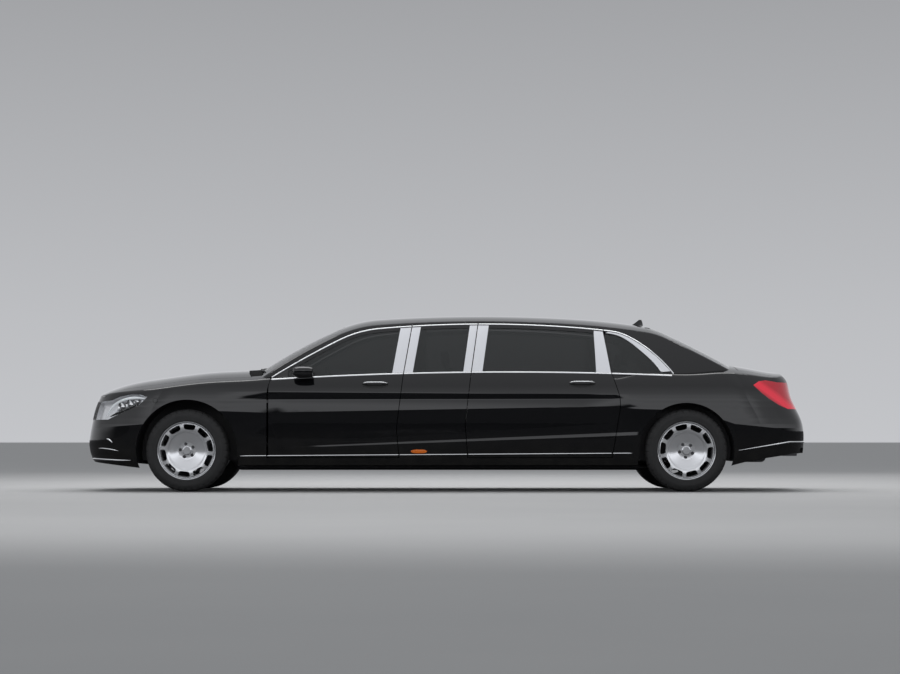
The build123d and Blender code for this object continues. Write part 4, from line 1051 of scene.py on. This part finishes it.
def build_side_chrome():
    """Bright strips round the side windows and along the belt."""
    for side_name, side in SIDES:
        upper = window_line(0.006)
        belt = [(x, belt_height(x)) for x in np.arange(-1.548, 2.0, 0.002)]
        for label, points, width in (("window_strip", upper, 0.015), ("belt_strip", belt, 0.018)):
            for lead, body, run in split_by_panels(points):
                places = [on_cabin(x, z, side, 0.001) for x, z in run]
                if label == "belt_strip":
                    for p, n in places:
                        p[1] = side * max(abs(p[1]), body_half(p[0], p[2]) - 0.006)
                sweep(f"{label}_{lead}_{side_name}", [p for p, n in places], [n for p, n in places],
                      half_round(width, 0.006), "chrome", body.format(side_name))


# Turned outlines as (radius, distance out of the wheel's middle plane)
RIM_FACE = [(0.031, 0.0905), (0.033, 0.086), (0.034, 0.068), (0.040, 0.066)]
RIM_DISH = [(0.040, 0.066), (0.060, 0.066), (0.078, 0.067), (0.084, 0.069), (0.110, 0.077), (0.150, 0.088),
            (0.163, 0.093), (0.166, 0.098), (0.170, 0.1005), (0.182, 0.1035), (0.205, 0.1050),
            (0.236, 0.1040)]
RIM_EDGE = [(0.236, 0.1040), (0.2385, 0.1030), (0.2405, 0.098), (0.2415, 0.089), (0.2435, 0.086),
            (0.2455, 0.090), (0.2475, 0.101), (0.2495, 0.109), (0.2525, 0.1145), (0.2560, 0.1158),
            (0.2585, 0.113), (0.2590, 0.106), (0.2565, 0.100), (0.2420, 0.097)]
# One half of the tyre as (distance from its middle plane, radius, kind); the kinds are cut differently
PLAIN, BLOCK, SHOULDER = 0, 1, 2
TYRE_HALF = [(0.000, 0.365, BLOCK), (0.006, 0.365, BLOCK), (0.0062, 0.357, PLAIN), (0.014, 0.357, PLAIN),
             (0.0142, 0.365, BLOCK), (0.026, 0.3648, BLOCK), (0.040, 0.3644, BLOCK), (0.0402, 0.357, PLAIN),
             (0.048, 0.357, PLAIN), (0.0482, 0.364, BLOCK), (0.060, 0.3632, SHOULDER),
             (0.074, 0.3615, SHOULDER), (0.086, 0.3585, SHOULDER), (0.098, 0.3535, SHOULDER),
             (0.107, 0.346, SHOULDER), (0.113, 0.3365, SHOULDER), (0.1165, 0.3290, BLOCK)]
TYRE_WALL = [(0.1185, 0.3275), (0.1205, 0.3240), (0.1228, 0.3160), (0.1238, 0.3145), (0.1246, 0.3050),
             (0.1249, 0.2950), (0.1240, 0.2945), (0.1238, 0.2850), (0.1232, 0.2745), (0.1240, 0.2735),
             (0.1232, 0.2680), (0.1205, 0.2620), (0.1170, 0.2600), (0.1060, 0.2585), (0.1000, 0.2450)]
TYRE_HALF += [(a, r, PLAIN) for a, r in TYRE_WALL]


def dish_at(radius):
    """How far out of the wheel's middle plane its dish stands at a radius."""
    return float(np.interp(radius, [r for r, a in RIM_DISH], [a for r, a in RIM_DISH]))


def pierced_ring(inner, outer, count, hole, middle, wall, turn=0.0):
    """A dished ring with holes; hole gives (across, up) from the hole's middle for an angle."""
    points, faces = [], []
    half = math.pi / count
    directions = [2 * math.pi * (k + 0.5) / 64 for k in range(64)]
    for sector in range(count):
        centre = 2 * math.pi * sector / count + turn
        rings = []
        for direction in directions:
            u, v = hole(direction)
            near = np.array([math.atan2(u, middle + v), math.hypot(u, middle + v)])
            way = np.array([math.cos(direction) / middle, math.sin(direction)])
            reaches = [half / abs(way[0])]
            reaches.append((outer - middle) / way[1] if way[1] > 0 else (inner - middle) / way[1])
            far = np.array([0, middle]) + way * min(reaches)
            row = [(near, wall), (near, 0.0025), (near + (far - near) * 0.06, 0.0)]
            row += [(near + (far - near) * t, 0.0) for t in (0.35, 0.7, 1.0)]
            rings.append(row)
        start = len(points)
        for row in rings:
            for (angle, radius), drop in row:
                a = centre + angle
                points.append((radius * math.sin(a), -(dish_at(radius) - drop), radius * math.cos(a)))
        faces += [tuple(start + i for i in f) for f in grid_faces(len(rings), len(rings[0]), True)]
    return points, faces


def window_shape(direction):
    """The edge of a wheel window: a trapezoid with rounded corners, wider outwards."""
    power, c, d = 4.5, math.cos(direction), math.sin(direction)
    reach = (abs(c / 0.0500) ** power + abs(d / 0.0240) ** power) ** (-1 / power)
    u, v = reach * c, reach * d
    return u * (1 + v * 4.2), v


def wheel_parts(side):
    """The pieces of a wheel about its own middle, the outer face towards side."""
    flip = Matrix.Scale(-1, 4, (0, 1, 0)) if side > 0 else Matrix.Identity(4)
    bolt = lambda direction: (0.0135 * math.cos(direction), 0.0135 * math.sin(direction))
    rim = [lathe([(0.0, -0.0905)] + [(r, -a) for r, a in RIM_FACE], 96),
           pierced_ring(0.040, 0.084, 5, bolt, 0.0595, 0.020, math.radians(36)),
           lathe([(r, -a) for r, a in RIM_DISH if 0.084 <= r <= 0.182], 160),
           pierced_ring(0.1790, 0.2362, 10, window_shape, 0.2085, 0.022, math.radians(18)),
           lathe([(r, -a) for r, a in RIM_EDGE] + [(0.2320, -0.085), (0.2240, 0.085), (0.2340, 0.100),
                                                   (0.2500, 0.106), (0.2520, 0.112), (0.2460, 0.113)], 160)]
    for k in range(5):
        a = math.radians(36 + 72 * k)
        spot = Matrix.Translation((0.0595 * math.sin(a), -0.047, 0.0595 * math.cos(a)))
        bolt_head = lathe([(0.0, -0.004), (0.0085, -0.004), (0.0098, -0.002), (0.0100, 0.012)], 6)
        rim.append(placed(bolt_head, spot))
    a = math.radians(18)
    valve = Matrix.Translation((0.2435 * math.sin(a), -0.092, 0.2435 * math.cos(a)))
    rim.append(placed(lathe([(0.0, -0.012), (0.003, -0.012), (0.004, 0.0), (0.0045, 0.012)], 12), valve))
    tyre, steps = [], 300
    profile = TYRE_HALF[::-1] + [(-a, r, kind) for a, r, kind in TYRE_HALF[1:]]
    for i in range(steps):
        angle = 2 * math.pi * i / steps
        for a, r, kind in profile:
            lag = i + (4 if a > 0 else 0)
            if kind == SHOULDER and lag % 8 == 0:
                r = r - 0.0065
            elif kind == BLOCK and abs(a) > 0.02 and lag % 8 == 4:
                r = r - 0.0045
            tyre.append((r * math.cos(angle), -a, r * math.sin(angle)))
    back = [(0.060, -0.010), (0.092, -0.012), (0.094, 0.020), (0.100, 0.020), (0.1025, 0.020), (0.171, 0.021),
            (0.172, 0.018), (0.172, -0.010), (0.171, -0.012), (0.104, -0.012)]
    disc = lathe([(r, -a) for r, a in back] + [(0.100, 0.010)], 96)
    hub = lathe([(0.030, -0.060), (0.066, -0.058), (0.070, -0.030), (0.070, 0.012)], 64)
    pieces = {"rim": joined(rim), "tyre": (tyre, grid_faces(steps, len(profile), True)),
              "brake_disc": joined([disc, hub])}
    return {name: placed(part, flip) for name, part in pieces.items()}


def build_wheels():
    """Tyres with grooved treads, disc wheels with ten windows, and brake discs."""
    record = {j["name"]: j for j in frame["record"]["behaviour"]["joints"]}
    made = {side: wheel_parts(side) for side in (-1, 1)}
    finishes = {"rim": "polished_wheel", "tyre": "tyre_rubber", "brake_disc": "brake_metal"}
    for corner in CORNERS:
        side = -1 if corner.endswith("left") else 1
        middle = record["spin_" + corner]["pos_m"]
        turned = Matrix.Rotation(math.radians(24.4 if corner.startswith("front") else 5.5), 3, "Y")
        for part, (points, faces) in made[side].items():
            data = mesh_of(f"{part}_{corner}_shape", [turned @ Vector(p) for p in points], faces)
            tidy(data, 38)
            new_piece(f"{part}_{corner}_look", data, finishes[part], "wheel_" + corner,
                      "tyre_rubber" if part == "tyre" else "polished_wheel",
                      [] if part == "brake_disc" else [f"{part}_{corner}"], middle)


def outer_skin(node):
    """Points and faces of a lamp's outer side, welded, with the outward normal at each point."""
    data = NODES[node].data
    bm = bmesh.new()
    bm.from_mesh(data)
    bmesh.ops.remove_doubles(bm, verts=bm.verts, dist=1e-5)
    centres = np.array([f.calc_center_median() for f in bm.faces])
    flat = np.array([f.normal for f in bm.faces])
    facing = (outward(shell_depth, centres) * flat).sum(1)
    open_way = [OUTSIDE.ray_cast(Vector(c + n * 0.001), Vector(n), 0.10)[0] is None
                for c, n in zip(centres, flat)]
    keep = (facing > 0.12) & np.array(open_way)
    bmesh.ops.delete(bm, geom=[f for f, k in zip(list(bm.faces), keep) if not k], context="FACES")
    bm.normal_update()
    points = [np.array(v.co) for v in bm.verts]
    normals = [np.array(v.normal) for v in bm.verts]
    index = {v: i for i, v in enumerate(bm.verts)}
    faces = [tuple(index[v] for v in f.verts) for f in bm.faces]
    bm.free()
    return np.array(points), np.array(normals), faces


def pocket(points, normals, faces, depth):
    """The walls and the back of a pocket behind an open skin."""
    count, seen = len(points), {}
    for face in faces:
        for a, b in zip(face, face[1:] + face[:1]):
            seen[frozenset((a, b))] = None if frozenset((a, b)) in seen else (a, b)
    walls = [(b, a, a + count, b + count) for a, b in (e for e in seen.values() if e)]
    back = [tuple(i + count for i in face) for face in faces]
    return np.concatenate([points, points - normals * depth]), walls + back


LIGHT_STRIP = [(-3.045, 0.672), (-3.020, 0.712), (-2.976, 0.768), (-2.905, 0.812), (-2.816, 0.836),
               (-2.740, 0.838), (-2.672, 0.828)]
SHADE_STRIP = [(-3.010, 0.668), (-2.902, 0.712), (-2.813, 0.746), (-2.730, 0.786)]
PROJECTORS = ((-2.915, 0.762, 0.036), (-2.835, 0.782, 0.036), (-2.762, 0.806, 0.022))


def fine_line(points, count=40):
    """A smooth line of evenly spread places through a few."""
    points = np.asarray(points, float)
    reach = np.concatenate([[0], np.cumsum(np.linalg.norm(np.diff(points, axis=0), axis=1))])
    return spline(reach, points, np.linspace(0, reach[-1], count))


def build_lamps():
    """Clear headlamps with projectors and light strips, and red tail lamps."""
    for node, lens_finish, bowl_finish, depth in (("headlamps", "clear_lens", "lamp_silver", 0.060),
                                                  ("tail_lamps", "red_lens", "lamp_red", 0.030)):
        points, normals, faces = outer_skin(node)
        new_piece(node + "_lens", mesh_of(node + "_lens", points, faces), lens_finish, "car_body", None, [node])
        walls = mesh_of(node + "_bowl", *pocket(points - normals * 0.0015, normals, faces, depth))
        walls.set_sharp_from_angle(angle=math.radians(35))
        new_piece(node + "_bowl", walls, bowl_finish, "car_body", lens_finish)
    for side_name, side in SIDES:
        for label, line, width, height, sink, finish in (
                ("light_strip", LIGHT_STRIP, 0.024, 0.010, 0.020, "lamp_white"),
                ("shade_strip", SHADE_STRIP, 0.022, 0.012, 0.022, "gloss_trim")):
            points, normals = from_side(shell_depth, fine_line(line), side)
            strip(f"headlamp_{label}_{side_name}", points - normals * sink, normals, width, height, finish,
                  "car_body", ("first", "last"))
        for number, (x, z, radius) in enumerate(PROJECTORS):
            points, normals = from_side(shell_depth, np.array([(x, z)]), side)
            way = (Vector(normals[0]) + Vector((-0.9, 0, 0))).normalized()
            turn = Vector((0, -1, 0)).rotation_difference(way).to_matrix().to_4x4()
            spot = Matrix.Translation(Vector(points[0]) - Vector(normals[0]) * 0.050) @ turn
            ring = [(radius * 1.25, 0.012), (radius * 1.28, -0.016), (radius * 1.20, -0.022),
                    (radius * 1.08, -0.018), (radius, -0.004)]
            ball = [(radius * math.sin(a), 0.008 - radius * 0.62 * math.cos(a))
                    for a in np.linspace(0, 1.5, 10)]
            for part, profile, finish in (("ring", ring, "chrome"), ("ball", ball, "lamp_ball")):
                data = mesh_of(part, *placed(lathe(profile, 40), spot))
                data.set_sharp_from_angle(angle=math.radians(40))
                new_piece(f"projector_{part}_{number}_{side_name}", data, finish, "car_body", "clear_lens")


# The grip's section as (across, out)
GRIP = [(-0.013, -0.002), (-0.0145, 0.003), (-0.012, 0.007), (0.0, 0.0085), (0.012, 0.007), (0.0145, 0.003),
        (0.013, -0.002), (0.0, -0.004)]
HANDLES = (("front", -0.748, -0.512, 0.947, "door_front_{}"), ("rear", 1.083, 1.321, 0.953, "door_rear_{}"))


def build_handles():
    """Door handles: an oval cup, a grip that stands off it, and its bright strip."""
    u = np.linspace(-0.995, 0.995, 34)
    for side_name, side in SIDES:
        for label, start, stop, z, body in HANDLES:
            mid, half = (start + stop) / 2, (stop - start) / 2
            x, rise = mid + half * u, 0.033 * np.sqrt(1 - u * u)
            cup = from_side(body_depth, band(x, z - rise, z + rise * 0.9, 6), side)
            name = f"handle_{label}_{side_name}"
            body = body.format(side_name)
            # Painted shade: a matte near-black plate stands in for the shade inside the handle's recess
            plate(name + "_cup", cup, 0.0012, "cup_black", body, "black_plastic")
            line = np.stack([mid + half * 0.97 * u, np.full(len(u), z + 0.004)], 1)
            points, normals = from_side(body_depth, line, side)
            lift = 0.026 * (1 - np.abs(u) ** 4)[:, None]
            sweep(name + "_grip", points + normals * lift, normals, GRIP, "black_paint", body,
                  taper=("first", "last"))
            line[:, 1] += 0.0075
            points, normals = from_side(body_depth, line, side)
            sweep(name + "_bright", points + normals * (lift + 0.004), normals,
                  half_round(0.012, 0.0045, 0.003), "chrome", body, taper=("first", "last"))


def rounded_pod(half, power, rows=28, columns=56):
    """A smooth pod with soft corners, about its own middle."""
    points = []
    bend = lambda value: math.copysign(abs(value) ** (2 / power), value)
    for i in range(columns):
        a = 2 * math.pi * i / columns
        for j in range(rows + 1):
            b = math.pi * (j / rows - 0.5)
            points.append((half[0] * bend(math.cos(b)) * bend(math.cos(a)), half[1] * bend(math.sin(b)),
                           half[2] * bend(math.cos(b)) * bend(math.sin(a))))
    return points, grid_faces(columns, rows + 1, True)


def build_mirrors():
    """Door mirrors: a painted cap over a black lower shell, the glass, and the foot."""
    for side_name, side in SIDES:
        body = f"door_front_{side_name}"
        place = Vector((-1.255, side * 0.978, 1.062))
        points, faces = rounded_pod((0.100, 0.098, 0.050), 3.0)
        shaped = []
        for x, y, z in points:
            x = min(x - 0.035 * y * side, 0.078)
            shaped.append(tuple(place + Vector((x, y, z * (1 - 0.12 * y * side / 0.098)))))
        upper = [f for f in faces if sum(shaped[i][2] for i in f) / len(f) > place.z - 0.012]
        lower = [f for f in faces if f not in set(upper)]
        for label, chosen, finish in (("cap", upper, "black_paint"), ("shell", lower, "black_plastic")):
            shaped_piece(f"mirror_{label}_{side_name}", (shaped, chosen), finish, body, "black_paint",
                         replaced=["mirror_" + side_name] if label == "cap" else [])
        t = np.linspace(0, 2 * math.pi, 41)[:-1]
        ring = [(place.x + 0.0785, place.y + 0.082 * math.copysign(abs(math.cos(a)) ** 0.6, math.cos(a)),
                 place.z + 0.036 * math.copysign(abs(math.sin(a)) ** 0.6, math.sin(a))) for a in t]
        rim = [(x + 0.0012, place.y + (y - place.y) * 0.95, place.z + (z - place.z) * 0.93)
               for x, y, z in ring]
        faces = [tuple(range(40, 80))] + [(i, (i + 1) % 40, 40 + (i + 1) % 40, 40 + i) for i in range(40)]
        shaped_piece("mirror_glass_" + side_name, (ring + rim, faces), "reflector", body, "chrome")
        line = fine_line([(-1.300, 0.868), (-1.285, 0.905), (-1.270, 0.950)], 12)
        path = [(x, side * y, 1.012 + 0.022 * k / 11) for k, (x, y) in enumerate(line)]
        foot = [(0.034 * math.cos(a), 0.015 * math.sin(a)) for a in np.linspace(0, 2 * math.pi, 17)[:-1]]
        sweep("mirror_foot_" + side_name, path, [(0, 0, 1)] * 12, foot, "black_plastic", body)
        x = np.linspace(-1.500, -1.405, 8)
        low = np.array([belt_height(v) + 0.011 for v in x])
        high = np.maximum(window_height(x) - 0.006, low + 0.004)
        grid = band(x, low, high, 5)
        plate("corner_cover_" + side_name, cabin_places(grid[..., 0], grid[..., 1], side), 0.003, "gloss_trim",
              body)


def bar_lattice(y_lines, z_lines, y_span, z_span, width, thick):
    """Flat bars across and up as boxes (y0, y1, z0, z1, thickness)."""
    boxes = [(y - width / 2, y + width / 2, z_span[0], z_span[1], thick) for y in y_lines]
    return boxes + [(y_span[0], y_span[1], z - width / 2, z + width / 2, thick * 0.8) for z in z_lines]


TIP_Y, TIP_LEVEL, TIP_HALF, TIP_RISE = 0.630, 0.350, 0.075, 0.033


def build_nose_and_tail():
    """The intake net, blank number plates, exhaust tips, the boot's bright strip and the aerial."""
    parts = []
    for y0, y1, z0, z1, thick in bar_lattice(np.linspace(-0.50, 0.50, 41), np.linspace(0.312, 0.394, 5),
                                             (-0.515, 0.515), (0.303, 0.402), 0.005, 0.008):
        steps = 16 if y1 - y0 > 0.1 else 1
        y = np.linspace(y0, y1, steps + 1)
        for a, b in zip(y, y[1:]):
            corners, _ = from_end(body_depth, [(a, z0), (b, z0), (b, z1), (a, z1)], -1)
            front = [tuple(c + np.array([0.030, 0, 0])) for c in corners]
            back = [(c[0] + thick, c[1], c[2]) for c in front]
            parts.append((front + back, [(0, 1, 2, 3), (7, 6, 5, 4), (0, 4, 5, 1), (1, 5, 6, 2), (2, 6, 7, 3),
                                         (3, 7, 4, 0)]))
    shaped_piece("intake_net", joined(parts), "black_plastic", "car_body", sharp=30)
    for label, end, z, body in (("front", -1, 0.500, "car_body"), ("rear", 1, 0.850, "boot_lid")):
        y = np.linspace(-0.26, 0.26, 12)
        for part, grow, proud, finish in (("frame", 0.008, 0.0015, "black_plastic"),
                                          ("plate", 0.0, 0.003, "plate_white")):
            grid = band(y * (0.26 + grow) / 0.26, z - 0.055 - grow, z + 0.055 + grow, 4)
            plate(f"number_{part}_{label}", from_end(body_depth, grid, end), proud, finish, body)
    for side_name, side in SIDES:
        parts = []
        turn = np.linspace(0, 2 * math.pi, 65)[:-1]
        bend = lambda v: np.sign(v) * np.abs(v) ** 0.45
        for x, grow in ((3.020, 0.0008), (3.122, 0.0008), (3.1275, -0.001), (3.1275, -0.004),
                        (3.120, -0.0055), (3.020, -0.0055)):
            parts.append([(x, side * TIP_Y + (TIP_HALF + grow) * c, TIP_LEVEL + (TIP_RISE + grow) * d)
                          for c, d in zip(bend(np.cos(turn)), bend(np.sin(turn)))])
        tip = [ring[i] for i in range(64) for ring in parts], grid_faces(64, 6, True)
        shaped_piece("exhaust_tip_" + side_name, tip, "chrome", "car_body", "steel", 50)
    y = np.linspace(-0.34, 0.34, 40)
    points, normals = from_end(body_depth, np.stack([y, np.full(40, 0.945)], 1), 1)
    strip("boot_strip", points, normals, 0.020, 0.009, "chrome", "boot_lid", ("first", "last"))
    rings = []
    for t in np.linspace(0, 1, 9):
        start, stop = 1.695 + 0.085 * t ** 0.8, 1.815 - 0.015 * t ** 2
        wide, level = 0.017 * (1 - t) ** 0.6 + 0.0025, 1.512 + 0.058 * t
        ring = []
        for a in np.linspace(0, 2 * math.pi, 25)[:-1]:
            ring.append(((start + stop) / 2 + (stop - start) / 2 * math.cos(a),
                         wide * math.sin(a) * (0.6 - 0.4 * math.cos(a + math.pi)), level))
        rings.append(ring)
    points = [p for ring in rings for p in ring]
    faces = [(i * 24 + k, i * 24 + (k + 1) % 24, (i + 1) * 24 + (k + 1) % 24, (i + 1) * 24 + k)
             for i in range(8) for k in range(24)] + [tuple(8 * 24 + k for k in range(24))]
    shaped_piece("aerial_fin", (points, faces), "black_paint", "car_body")


# Ends of each wiper's blade and the foot of its arm, seen from the front
WIPERS = (((0.02, 1.108), (-0.600, 1.068), (0.0, 1.092)), ((0.600, 1.070), (0.10, 1.104), (0.55, 1.092)))


def build_side_details():
    """The amber marker, the round wing cover, the fuel flap and the wipers."""
    u = np.linspace(-0.99, 0.99, 22)
    for side_name, side in SIDES:
        x, rise = -0.2425 + 0.0715 * u, 0.017 * (1 - np.abs(u) ** 3) ** 0.5
        grid = band(x, 0.358 - rise, 0.358 + rise, 5)
        plate("side_marker_" + side_name, from_side(body_depth, grid, side), 0.003, "amber_lens", "car_body",
              "clear_lens", bulge=0.004)
        a = np.linspace(0, 2 * math.pi, 49)
        cover = np.stack([-2.572 + 0.021 * np.cos(a), 0.806 + 0.021 * np.sin(a)], 1)
        sweep("wing_cover_" + side_name, *from_side(body_depth, cover, side), half_round(0.0028, 0.0005),
              "seam_black", "car_body", "black_plastic")
    a = np.linspace(0, 2 * math.pi, 73)
    bend = lambda v: np.sign(v) * np.abs(v) ** 0.55
    flap = np.stack([2.12 + 0.085 * bend(np.cos(a)), 0.905 + 0.075 * bend(np.sin(a))], 1)
    sweep("fuel_flap_seam", *from_side(body_depth, flap, 1), half_round(0.0032, 0.0005), "seam_black",
          "car_body", "black_plastic")
    blade = [(-0.006, -0.004), (-0.006, 0.006), (-0.002, 0.012), (0.002, 0.012), (0.006, 0.006),
             (0.006, -0.004)]
    for number, (start, stop, foot) in enumerate(WIPERS):
        points, normals = from_end(roof_depth, np.linspace(start, stop, 24), -1)
        sweep(f"wiper_blade_{number}", points + normals * 0.002, normals, blade, "black_plastic", "car_body")
        middle = ((start[0] + stop[0]) / 2, (start[1] + stop[1]) / 2)
        points, normals = from_end(roof_depth, np.linspace(middle, foot, 14), -1)
        sweep(f"wiper_arm_{number}", points + normals * 0.014, normals, half_round(0.016, 0.006, 0.003),
              "black_plastic", "car_body")


# CAD node, place of the back's foot, the way that the sitter faces, and the width of one seat
SEATS = (("seats_front", -0.560, -1, 0.520), ("seats_facing", 0.160, 1, 0.500),
         ("seats_rear", 1.440, -1, 0.600))


def quilted(half, power, turn, middle, channels, rows=26, columns=52):
    """A padded block with soft corners and stitched channels down its face."""
    points, faces = rounded_pod(half, power, rows, columns)
    shaped = []
    for x, y, z in points:
        groove = math.cos(channels * math.pi * y / half[1]) ** 2 if abs(y) < half[1] * 0.92 else 0.6
        sink = 1 - 0.035 * (1 - groove) ** 3
        shaped.append(turn @ Vector((x * sink, y, z * sink)) + middle)
    return shaped, faces


def build_interior():
    """Leather seats with padded cushions, backs and head rests, and the rim and dials ahead of the driver."""
    for node, place, facing, wide in SEATS:
        for y in (-0.395, 0.395):
            label = node + ("_left" if y < 0 else "_right")
            lean = Matrix.Rotation(math.atan2(-facing * 0.085, 0.65), 3, "Y")
            level = Matrix.Identity(3)
            half = wide / 2 - 0.004
            shapes = (("cushion", (0.256, half, 0.085), 5.5, level, 0.250, 0.500, 5, 0.75),
                      ("back", (0.056, half - 0.004, 0.318), 5.0, lean, -0.104, 0.790, 5, 0.7),
                      ("head_rest", (0.038, 0.124, 0.066), 3.6, lean, -0.171, 1.198, 2, 0.8))
            for part, size, power, turn, ahead, height, channels, fill in shapes:
                middle = Vector((place + facing * ahead, y, height))
                obj = shaped_piece(label + "_" + part, quilted(size, power, turn, middle, channels),
                                   "black_leather", "car_body", "black_leather",
                                   replaced=[node] if part == "cushion" and y < 0 else ())
            x0, x1 = sorted((place - facing * 0.010, place + facing * 0.500))
            foot, faces = rounded_pod(((x1 - x0) / 2, half - 0.020, 0.066), 9.0, 16, 40)
            middle = Vector(((x0 + x1) / 2, y, 0.357))
            shaped_piece(label + "_base", ([Vector(q) + middle for q in foot], faces), "black_plastic",
                         "car_body", "black_leather")
            stalk = lathe([(0.0055, -0.030), (0.0060, -0.028), (0.0060, 0.028), (0.0055, 0.030)], 20)
            for post in (-0.05, 0.05):
                spot = Matrix.Translation((place - facing * 0.166, y + post, 1.115))
                rod = mesh_of(label + "_post", *placed(stalk, spot @ Matrix.Rotation(math.pi / 2, 4, "X")))
                new_piece(f"{label}_post_{'inner' if post * y < 0 else 'outer'}", rod, "chrome", "car_body",
                          "black_leather")
    ring = [(0.050, 0.004), (0.056, 0.003), (0.058, -0.004), (0.053, -0.006), (0.050, -0.001),
            (0.0, -0.001)]
    turn = Matrix.Rotation(math.radians(-26), 4, "Y") @ Matrix.Rotation(math.pi / 2, 4, "Z")
    for number, y in enumerate((-0.470, -0.320)):
        spot = Matrix.Translation((-1.2255, y, 0.908)) @ turn
        shaped_piece(f"dial_{number}", placed(lathe(ring, 48), spot), "lamp_ball", "car_body",
                     "black_leather", 35)


class LimousineSettings(bpy.types.PropertyGroup):
    """Sizes and strengths that a user may change."""
    lens: bpy.props.FloatProperty(name="Lens", description="Focal length in millimetres", default=94.3)
    camera_tilt: bpy.props.FloatProperty(name="Camera tilt", description="Degrees that the camera looks up",
                                         default=2.5)
    sky_strength: bpy.props.FloatProperty(name="Sky", description="Strength of the even light", default=0.45)
    lamp_strength: bpy.props.FloatProperty(name="Lamps", description="Factor on all lamps", default=1.0)


def operator(identity, label, work):
    """An operator class that runs one builder."""
    def execute(self, context):
        work()
        return {"FINISHED"}
    name = "LIMO_OT_" + identity
    return type(name, (bpy.types.Operator,), {"bl_idname": "limousine." + identity, "bl_label": label,
                                              "__doc__": label, "execute": execute})


class LIMO_PT_panel(bpy.types.Panel):
    """Lists the pieces that can be built."""
    bl_label = "Limousine"
    bl_space_type = "VIEW_3D"
    bl_region_type = "UI"
    bl_category = "Limousine"

    def draw(self, context):
        for step in STEPS:
            self.layout.operator(step.bl_idname)


STEPS = [
    operator("materials", "Make the finishes", make_materials),
    operator("stage", "Build the floor, lights and camera", lambda: build_stage(bpy.context.scene.limousine)),
    operator("frame_finishes", "Finish the carried-over pieces", dress_frame),
    operator("panels", "Build the painted panels", build_panels),
    operator("glass", "Build the windows", build_glass),
    operator("side_chrome", "Build the window and belt strips", build_side_chrome),
    operator("pillar_trims", "Build the pillar covers", build_pillar_trims),
    operator("low_chrome", "Build the sill and bumper strips", build_low_chrome),
    operator("wheels", "Build the wheels", build_wheels),
    operator("lamps", "Build the lamps", build_lamps),
    operator("handles", "Build the door handles", build_handles),
    operator("mirrors", "Build the door mirrors", build_mirrors),
    operator("nose_and_tail", "Build the intake net, plates and aerial", build_nose_and_tail),
    operator("side_details", "Build the markers, seams and wipers", build_side_details),
    operator("interior", "Build the seats and dials", build_interior),
]


def register():
    """Makes the settings, the panel and the operators known."""
    for cls in [LimousineSettings, LIMO_PT_panel] + STEPS:
        bpy.utils.register_class(cls)
    bpy.types.Scene.limousine = bpy.props.PointerProperty(type=LimousineSettings)


def unregister():
    """Takes them away again."""
    del bpy.types.Scene.limousine
    for cls in reversed([LimousineSettings, LIMO_PT_panel] + STEPS):
        bpy.utils.unregister_class(cls)


def main():
    """Builds every piece in turn and writes the two boxes of the model."""
    register()
    for step in STEPS:
        group, action = step.bl_idname.split(".")
        getattr(getattr(bpy.ops, group), action)()


if __name__ == "__main__":
    main()
